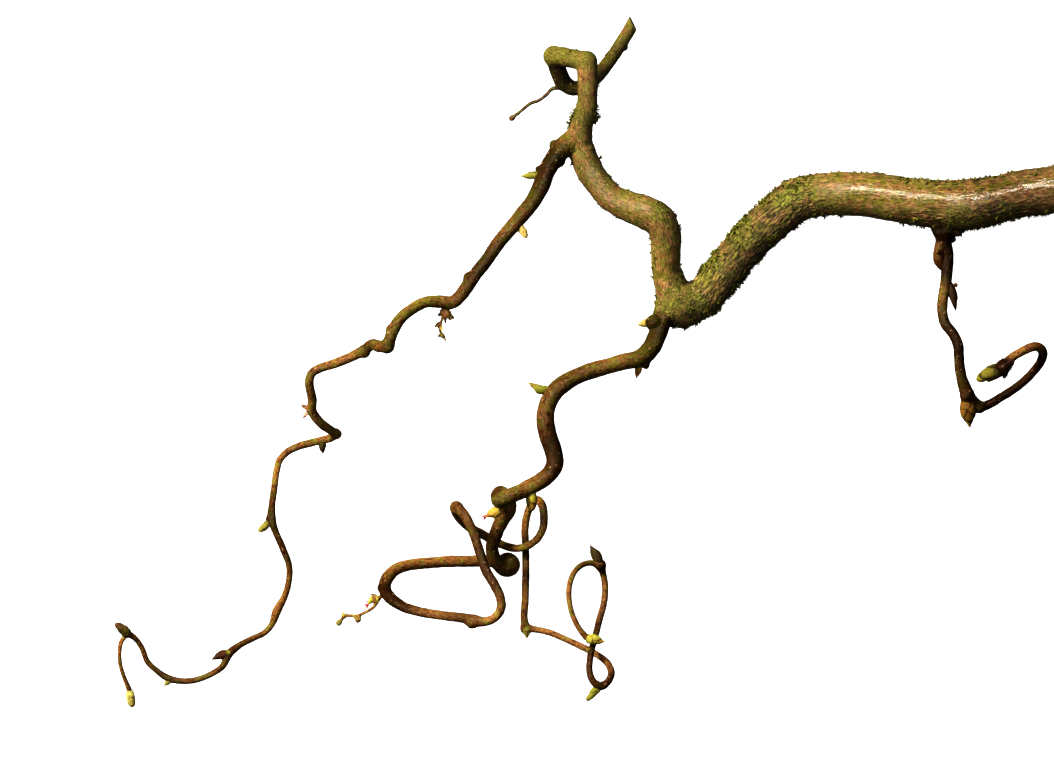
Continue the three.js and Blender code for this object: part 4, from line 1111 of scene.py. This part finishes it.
# How each paint of tinted pieces looks: roughness, speck scale and amount, bump height in m,
# shine and how much light goes into it.
tintedLooks = {
    "budScales": (0.5, 1500.0, 0.25, 0.00005, 0.13, 0.0),
    "flowerThread": (0.5, 2000.0, 0.1, 0.00002, 0.1, 0.2),
    "dryScale": (0.7, 1200.0, 0.3, 0.00006, 0.1, 0.1),
    "mossLeaf": (0.65, 1500.0, 0.2, 0.00003, 0.1, 0.0),
    "twigHair": (0.6, 900.0, 0.1, 0.00001, 0.1, 0.0),
}


def makeTintedPaint(name):
    paint, tree = newPaint(name)
    rough, speckScale, amount, bumpHeight, shine, through = tintedLooks[name]
    tint = reading(tree, "tint", "Color")
    speck = noised(addNode(tree, "TexCoord").outputs["Object"], speckScale, 3.0, 0.6)
    dark, bright = (addNode(tree, "HueSaturation", {"Value": light, "Color": tint}).outputs[0]
                    for light in (1 - amount, 1 + amount))
    bump = addNode(tree, "Bump", {"Strength": 0.4, "Distance": bumpHeight, "Height": speck})
    return finishPaint(paint, {
        "Base Color": mixed(ranged(speck, 0.3, 0.7), dark, bright), "Roughness": rough,
        "Normal": bump.outputs["Normal"], "Specular IOR Level": shine,
        "Subsurface Weight": through, "Subsurface Scale": 0.0006})


def makeTinted(name, corners, tint, faces, paint, slotName):
    piece = makePiece(name, corners, faces, paint)
    layer = piece.data.attributes.new("tint", "FLOAT_COLOR", "POINT")
    tint = np.column_stack([tint, np.ones(len(tint))]).astype(np.float32)
    layer.data.foreach_set("color", tint.ravel())
    print(name, len(faces), "faces")


budPaint = makeTintedPaint("budScales")
for name, group in buds.items():
    makeTinted(name, *joined([budOf(bud, k) for k, bud in enumerate(group)]), budPaint, "bud")

threads = {
    "count": 9, "length": 1.9, "thickness": 0.42, "spreadAngle": 0.3, "sides": 6,
    "girths": (0.7, 0.9, 1, 1, 0.9, 0.5),
    "colour": (0.80, 0.10, 0.14), "footColour": (0.62, 0.2, 0.12),
    "places": [((-45.0, -50.8, 33.1), (-0.75, -0.62, 0.25)),
               ((-84.2, -80.3, 24), (-0.8, -0.55, 0.3))],
}


def rodOf(line, radii, sides, colours):
    # A closed thin rod along a short line of points.
    heading = unit(np.gradient(line, axis=0))
    side = unit(np.cross(heading, (0.31, 0.22, 0.93)))
    tint = np.vstack([np.repeat(colours, sides, axis=0), colours[:1], colours[-1:]])
    return *tubeOf(line, radii, side, np.cross(heading, side), sides), tint


def makeThreads():
    parts = []
    share = np.linspace(0, 1, len(threads["girths"]))[:, None]
    radii = threads["thickness"] / 2 * np.array(threads["girths"])
    colours = np.array(threads["footColour"]) * (1 - share) + np.array(threads["colour"]) * share
    for place, direction in threads["places"]:
        for k in range(threads["count"]):
            lean = unit(np.array(direction) + threads["spreadAngle"] * chance.normal(size=3))
            curl = 0.5 * chance.normal(size=3)
            long = threads["length"] * (0.7 + 0.5 * chance.random())
            line = (np.array(place) - 0.4 * unit(direction) + share * lean * long
                    + share ** 2 * curl * long * 0.4)
            parts.append(rodOf(line, radii, threads["sides"], colours))
    makeTinted("flowerThreads", *joined(parts), makeTintedPaint("flowerThread"), "stigma")


makeThreads()

# Dry papery flakes: foot, tip, width, how much it curls, which way it faces and its colour.
dryScales = {
    "thickness": 0.16, "along": 9, "across": 7,
    "dark": (0.06, 0.04, 0.012), "tan": (0.30, 0.20, 0.06), "pink": (0.36, 0.21, 0.13),
    "brown": (0.14, 0.07, 0.02),
    "flakes": [
        ((-57.8, 17.2, 33.6), (-57, 14, 34.4), 2.2, 0.5, (0.3, 0.2, 1), "dark"),
        ((-58.2, 17, 33.8), (-55.4, 14.9, 33.2), 1.5, -0.4, (-0.2, 0.5, 1), "dark"),
        ((-58.6, 17, 33.4), (-61, 15.7, 33.8), 1.5, 0.4, (0.2, 0.3, 1), "dark"),
        ((-58.4, 16.6, 33), (-59, 13.2, 32), 1.6, 0.4, (0.8, 0.3, 0.6), "brown"),
        ((-60.2, 13.6, 33.2), (-62.2, 12.1, 33.4), 1.3, 0.6, (0.3, -0.2, 1), "tan"),
        ((-60.2, 12.8, 33), (-59.4, 10.8, 33.8), 1.3, 0.4, (-0.4, 0.3, 1), "tan"),
        ((-59.8, 10, 32.4), (-58.6, 7.4, 31.6), 1.1, 0.5, (0.4, 0.2, 1), "tan"),
        ((-60, 9.6, 32.4), (-61, 8.6, 32.8), 0.9, 0.3, (0.2, 0.1, 1), "brown"),
        ((-103.8, -15.6, 29.6), (-106.8, -14.2, 30.4), 1.6, 0.6, (0.2, 0.3, 1), "pink"),
        ((-104, -16, 29.4), (-106.2, -18, 29.2), 1.6, -0.5, (-0.3, 0.2, 1), "pink"),
        ((-81.4, -77.6, 23.8), (-83.6, -77.2, 24.6), 1.1, 0.4, (0.2, 0.3, 1), "tan"),
        ((128.6, -0.2, 19.4), (126.2, 0.8, 20.4), 1.8, 0.6, (0.2, 0.6, 1), "dark"),
        ((128.4, -2.6, 17.4), (127.2, -5, 17.2), 1.8, 0.5, (0.3, -0.4, 1), "dark"),
    ],
}


def flakeOf(flake):
    foot, tip, width, curl, facing, colour = flake
    foot, tip = np.array(foot, float), np.array(tip, float)
    heading = unit(tip - foot)
    across = unit(np.cross(facing, heading))
    outward = np.cross(heading, across)
    rows, columns = dryScales["along"], dryScales["across"]
    u, v = np.meshgrid(np.linspace(0, 1, rows), np.linspace(-1, 1, columns), indexing="ij")
    half = width / 2 * np.sqrt(np.clip(np.sin(np.pi * (0.12 + 0.83 * u ** 0.8)), 0, 1))
    long = np.linalg.norm(tip - foot)
    lift = curl * width * 0.5 * (v ** 2) + curl * long * 0.25 * u ** 2
    ripple = 0.06 * width * np.sin(5 * u + 3 * v + foot[0])
    middle = foot + u[..., None] * (tip - foot) + (v * half)[..., None] * across
    corners = []
    for level in (0.5, -0.5):
        thickness = dryScales["thickness"] * level * (1 - 0.6 * np.abs(v)) * (1 - 0.5 * u)
        corners.append((middle + (lift + ripple + thickness)[..., None] * outward).reshape(-1, 3))
    # The upper and the lower leaf, and the band that joins their borders.
    number, under, faces = np.arange(u.size).reshape(rows, columns), u.size, []
    for i, j in np.ndindex(rows - 1, columns - 1):
        a, b, d, c = number[i:i + 2, j:j + 2].ravel().tolist()
        faces += [(a, d, c, b), (under + a, under + b, under + c, under + d)]
    border = [*number[:, 0], *number[-1, 1:], *number[-2::-1, -1], *number[0, -2:0:-1]]
    faces += [(int(b), int(a), int(under + a), int(under + b))
              for a, b in zip(border, border[1:] + border[:1])]
    tone = np.array(dryScales[colour]) * (0.75 + 0.5 * u.reshape(-1, 1))
    return np.vstack(corners), faces, np.vstack([tone, tone * 0.8])


makeTinted("dryScales", *joined([flakeOf(flake) for flake in dryScales["flakes"]]),
           makeTintedPaint("dryScale"), "dry_scale")

growth = {
    "leaves": 4000, "leafLength": (0.3, 0.7), "leafWidth": 0.22,
    "smallTufts": 1450, "tuftLeaves": 8, "tuftReach": 0.6, "tuftLength": (0.6, 2),
    "lightMoss": (0.24, 0.23, 0.028), "darkMoss": (0.035, 0.036, 0.006),
    "hairs": 1600, "hairLength": (0.25, 0.6), "hairWidth": 0.05, "hairColour": (0.36, 0.24, 0.1),
    "longHair": 1.5, "longHairWidth": 0.1, "longHairColour": (0.035, 0.022, 0.008),
    # Places with long hairs: [x, y, z, reach, hairs].
    "hairyPlaces": [
        [127.7, -1, 18.6, 2.4, 70], [115.2, -11, 10.6, 2, 20], [-7, -107, 36, 1.6, 16]],
    # Tufts that stand out: [x, y, z, reach, leaves, length].
    "tufts": [
        [-17.4, 83.2, 16, 1.8, 26, 1.9], [-17.6, 80.4, 15.4, 1.6, 22, 1.7],
        [-8, 83, 15.8, 1.8, 24, 1.6], [37.6, 45.6, 12, 2, 20, 1.5], [41.4, 48.6, 12.6, 2, 20, 1.6],
        [48.6, 55.8, 13, 3, 26, 1.2], [42.6, 29.4, 8, 2, 20, 1.4], [41.4, 27.6, 8, 2, 20, 1.4],
        [36, 24, 7.6, 2.5, 22, 1.2], [18.6, 50.7, 18, 0.9, 14, 1.2], [55, 48, 8, 3, 26, 1.2],
        [97.3, 45.6, 12, 2, 14, 1], [121, 45.4, 11, 4, 26, 0.9], [70, 64, 14, 5, 22, 0.9],
        [113.5, 44.4, 10, 1.6, 30, 0.8], [111.4, 43.4, 9.6, 1.4, 22, 0.7],
        [115.4, 45.2, 10, 1.6, 24, 0.7], [104.6, 45, 10, 1.4, 16, 0.6],
    ],
    "sunk": 0.12, "hairSunk": 0.05,  # how deep they root
    "lean": 0.7, "hairLean": 0.35,  # how far they lean at random
    "bladeLight": [0.6] * 3 + [0.9] * 3 + [1.25],  # from the foot to the tip
}


def bladesOf(roots, leans, lengths, widths, tints):
    # Thin three-sided blades with a bend, all at once.
    side = unit(np.cross(leans, unit(chance.normal(size=roots.shape))))
    upward = np.cross(leans, side)
    blade = []
    for share, girth in ((0, 1.0), (0.55, 0.85)):
        centre = (roots + leans * (lengths * share)[:, None]
                  + side * (0.35 * lengths * share ** 2)[:, None])
        for angle in 2 * np.pi * np.arange(3) / 3:
            blade.append(centre + (widths * girth / 2)[:, None] * (
                np.cos(angle) * side + np.sin(angle) * upward))
    blade.append(roots + leans * lengths[:, None] + side * (0.35 * lengths)[:, None])
    pattern = [(0, 1, 4, 3), (1, 2, 5, 4), (2, 0, 3, 5), (3, 4, 6), (4, 5, 6), (5, 3, 6), (2, 1, 0)]
    faces = [tuple(7 * i + k for k in face) for i in range(len(roots)) for face in pattern]
    tint = np.repeat(tints, 7, axis=0) * np.tile(growth["bladeLight"], len(roots))[:, None]
    return np.stack(blade, 1).reshape(-1, 3), tint, faces


def makeMoss():
    ground = (np.clip(mossy * old, 0, 1) ** 0.9 * (~onCut) * (points[:, 2] > 1.2)
              * (1 - 0.7 * coarse))
    picks = [chance.choice(count, growth["leaves"], p=ground / ground.sum())]
    lengths = [chance.uniform(*growth["leafLength"], growth["leaves"])]
    wild = ((0.12 + mossy) * old * (~onCut) * (points[:, 2] > 1.5) * (1 - smooth)
            * (1.2 - normals[:, 2]) ** 2 * (0.3 + coarse ** 2))
    for middle in points[chance.choice(count, growth["smallTufts"], p=wild / wild.sum())]:
        close = ((points - middle) ** 2).sum(1) < growth["tuftReach"] ** 2
        picks.append(chance.choice(np.nonzero(close)[0], growth["tuftLeaves"]))
        lengths.append(chance.uniform(*growth["tuftLength"], growth["tuftLeaves"])
                       * chance.uniform(0.6, 1))
    for x, y, z, reach, leaves, length in growth["tufts"]:
        away = np.linalg.norm(points - (x, y, z), axis=1)
        close = np.nonzero(away < max(reach, away.min() + 0.8))[0]
        picks.append(chance.choice(close, leaves))
        lengths.append(chance.uniform(0.5, 1, leaves) * length * 1.4)
    picks, lengths = np.concatenate(picks), np.concatenate(lengths)
    lean = unit(normals[picks] + growth["lean"] * chance.normal(size=(len(picks), 3)))
    roots = points[picks] - growth["sunk"] * normals[picks]
    kept = (roots + lean * lengths[:, None])[:, 2] > 0.3
    shade = chance.random((len(picks), 1)) ** 1.3
    tints = np.array(growth["darkMoss"]) * (1 - shade) + np.array(growth["lightMoss"]) * shade
    widths = growth["leafWidth"] * chance.uniform(0.7, 1.3, len(picks))
    widths *= 1 + 0.7 * (lengths > 0.7)
    blades = bladesOf(*(part[kept] for part in (roots, lean, lengths, widths, tints)))
    makeTinted("moss", *blades, makeTintedPaint("mossLeaf"), "moss")


def makeHairs():
    youngest = fade(0.3, 0.05, age) * (~onCut) * (radius > 0.4)
    picks = chance.choice(count, growth["hairs"], p=youngest / youngest.sum())
    lengths = chance.uniform(*growth["hairLength"], growth["hairs"])
    for x, y, z, reach, amount in growth["hairyPlaces"]:
        close = np.linalg.norm(points - (x, y, z), axis=1) < reach
        picks = np.concatenate([picks, chance.choice(np.nonzero(close)[0], amount)])
        long = chance.uniform(0.5, 1, amount) * growth["longHair"]
        lengths = np.concatenate([lengths, long])
    lean = unit(normals[picks] + growth["hairLean"] * chance.normal(size=(len(picks), 3)))
    roots = points[picks] - growth["hairSunk"] * normals[picks]
    long = np.arange(len(picks)) >= growth["hairs"]
    widths = np.where(long, growth["longHairWidth"], growth["hairWidth"])
    tints = np.where(long[:, None], growth["longHairColour"], growth["hairColour"])
    blades = bladesOf(roots, lean, lengths, widths, tints)
    makeTinted("twigHairs", *blades, makeTintedPaint("twigHair"), "bark")


makeMoss()
makeHairs()
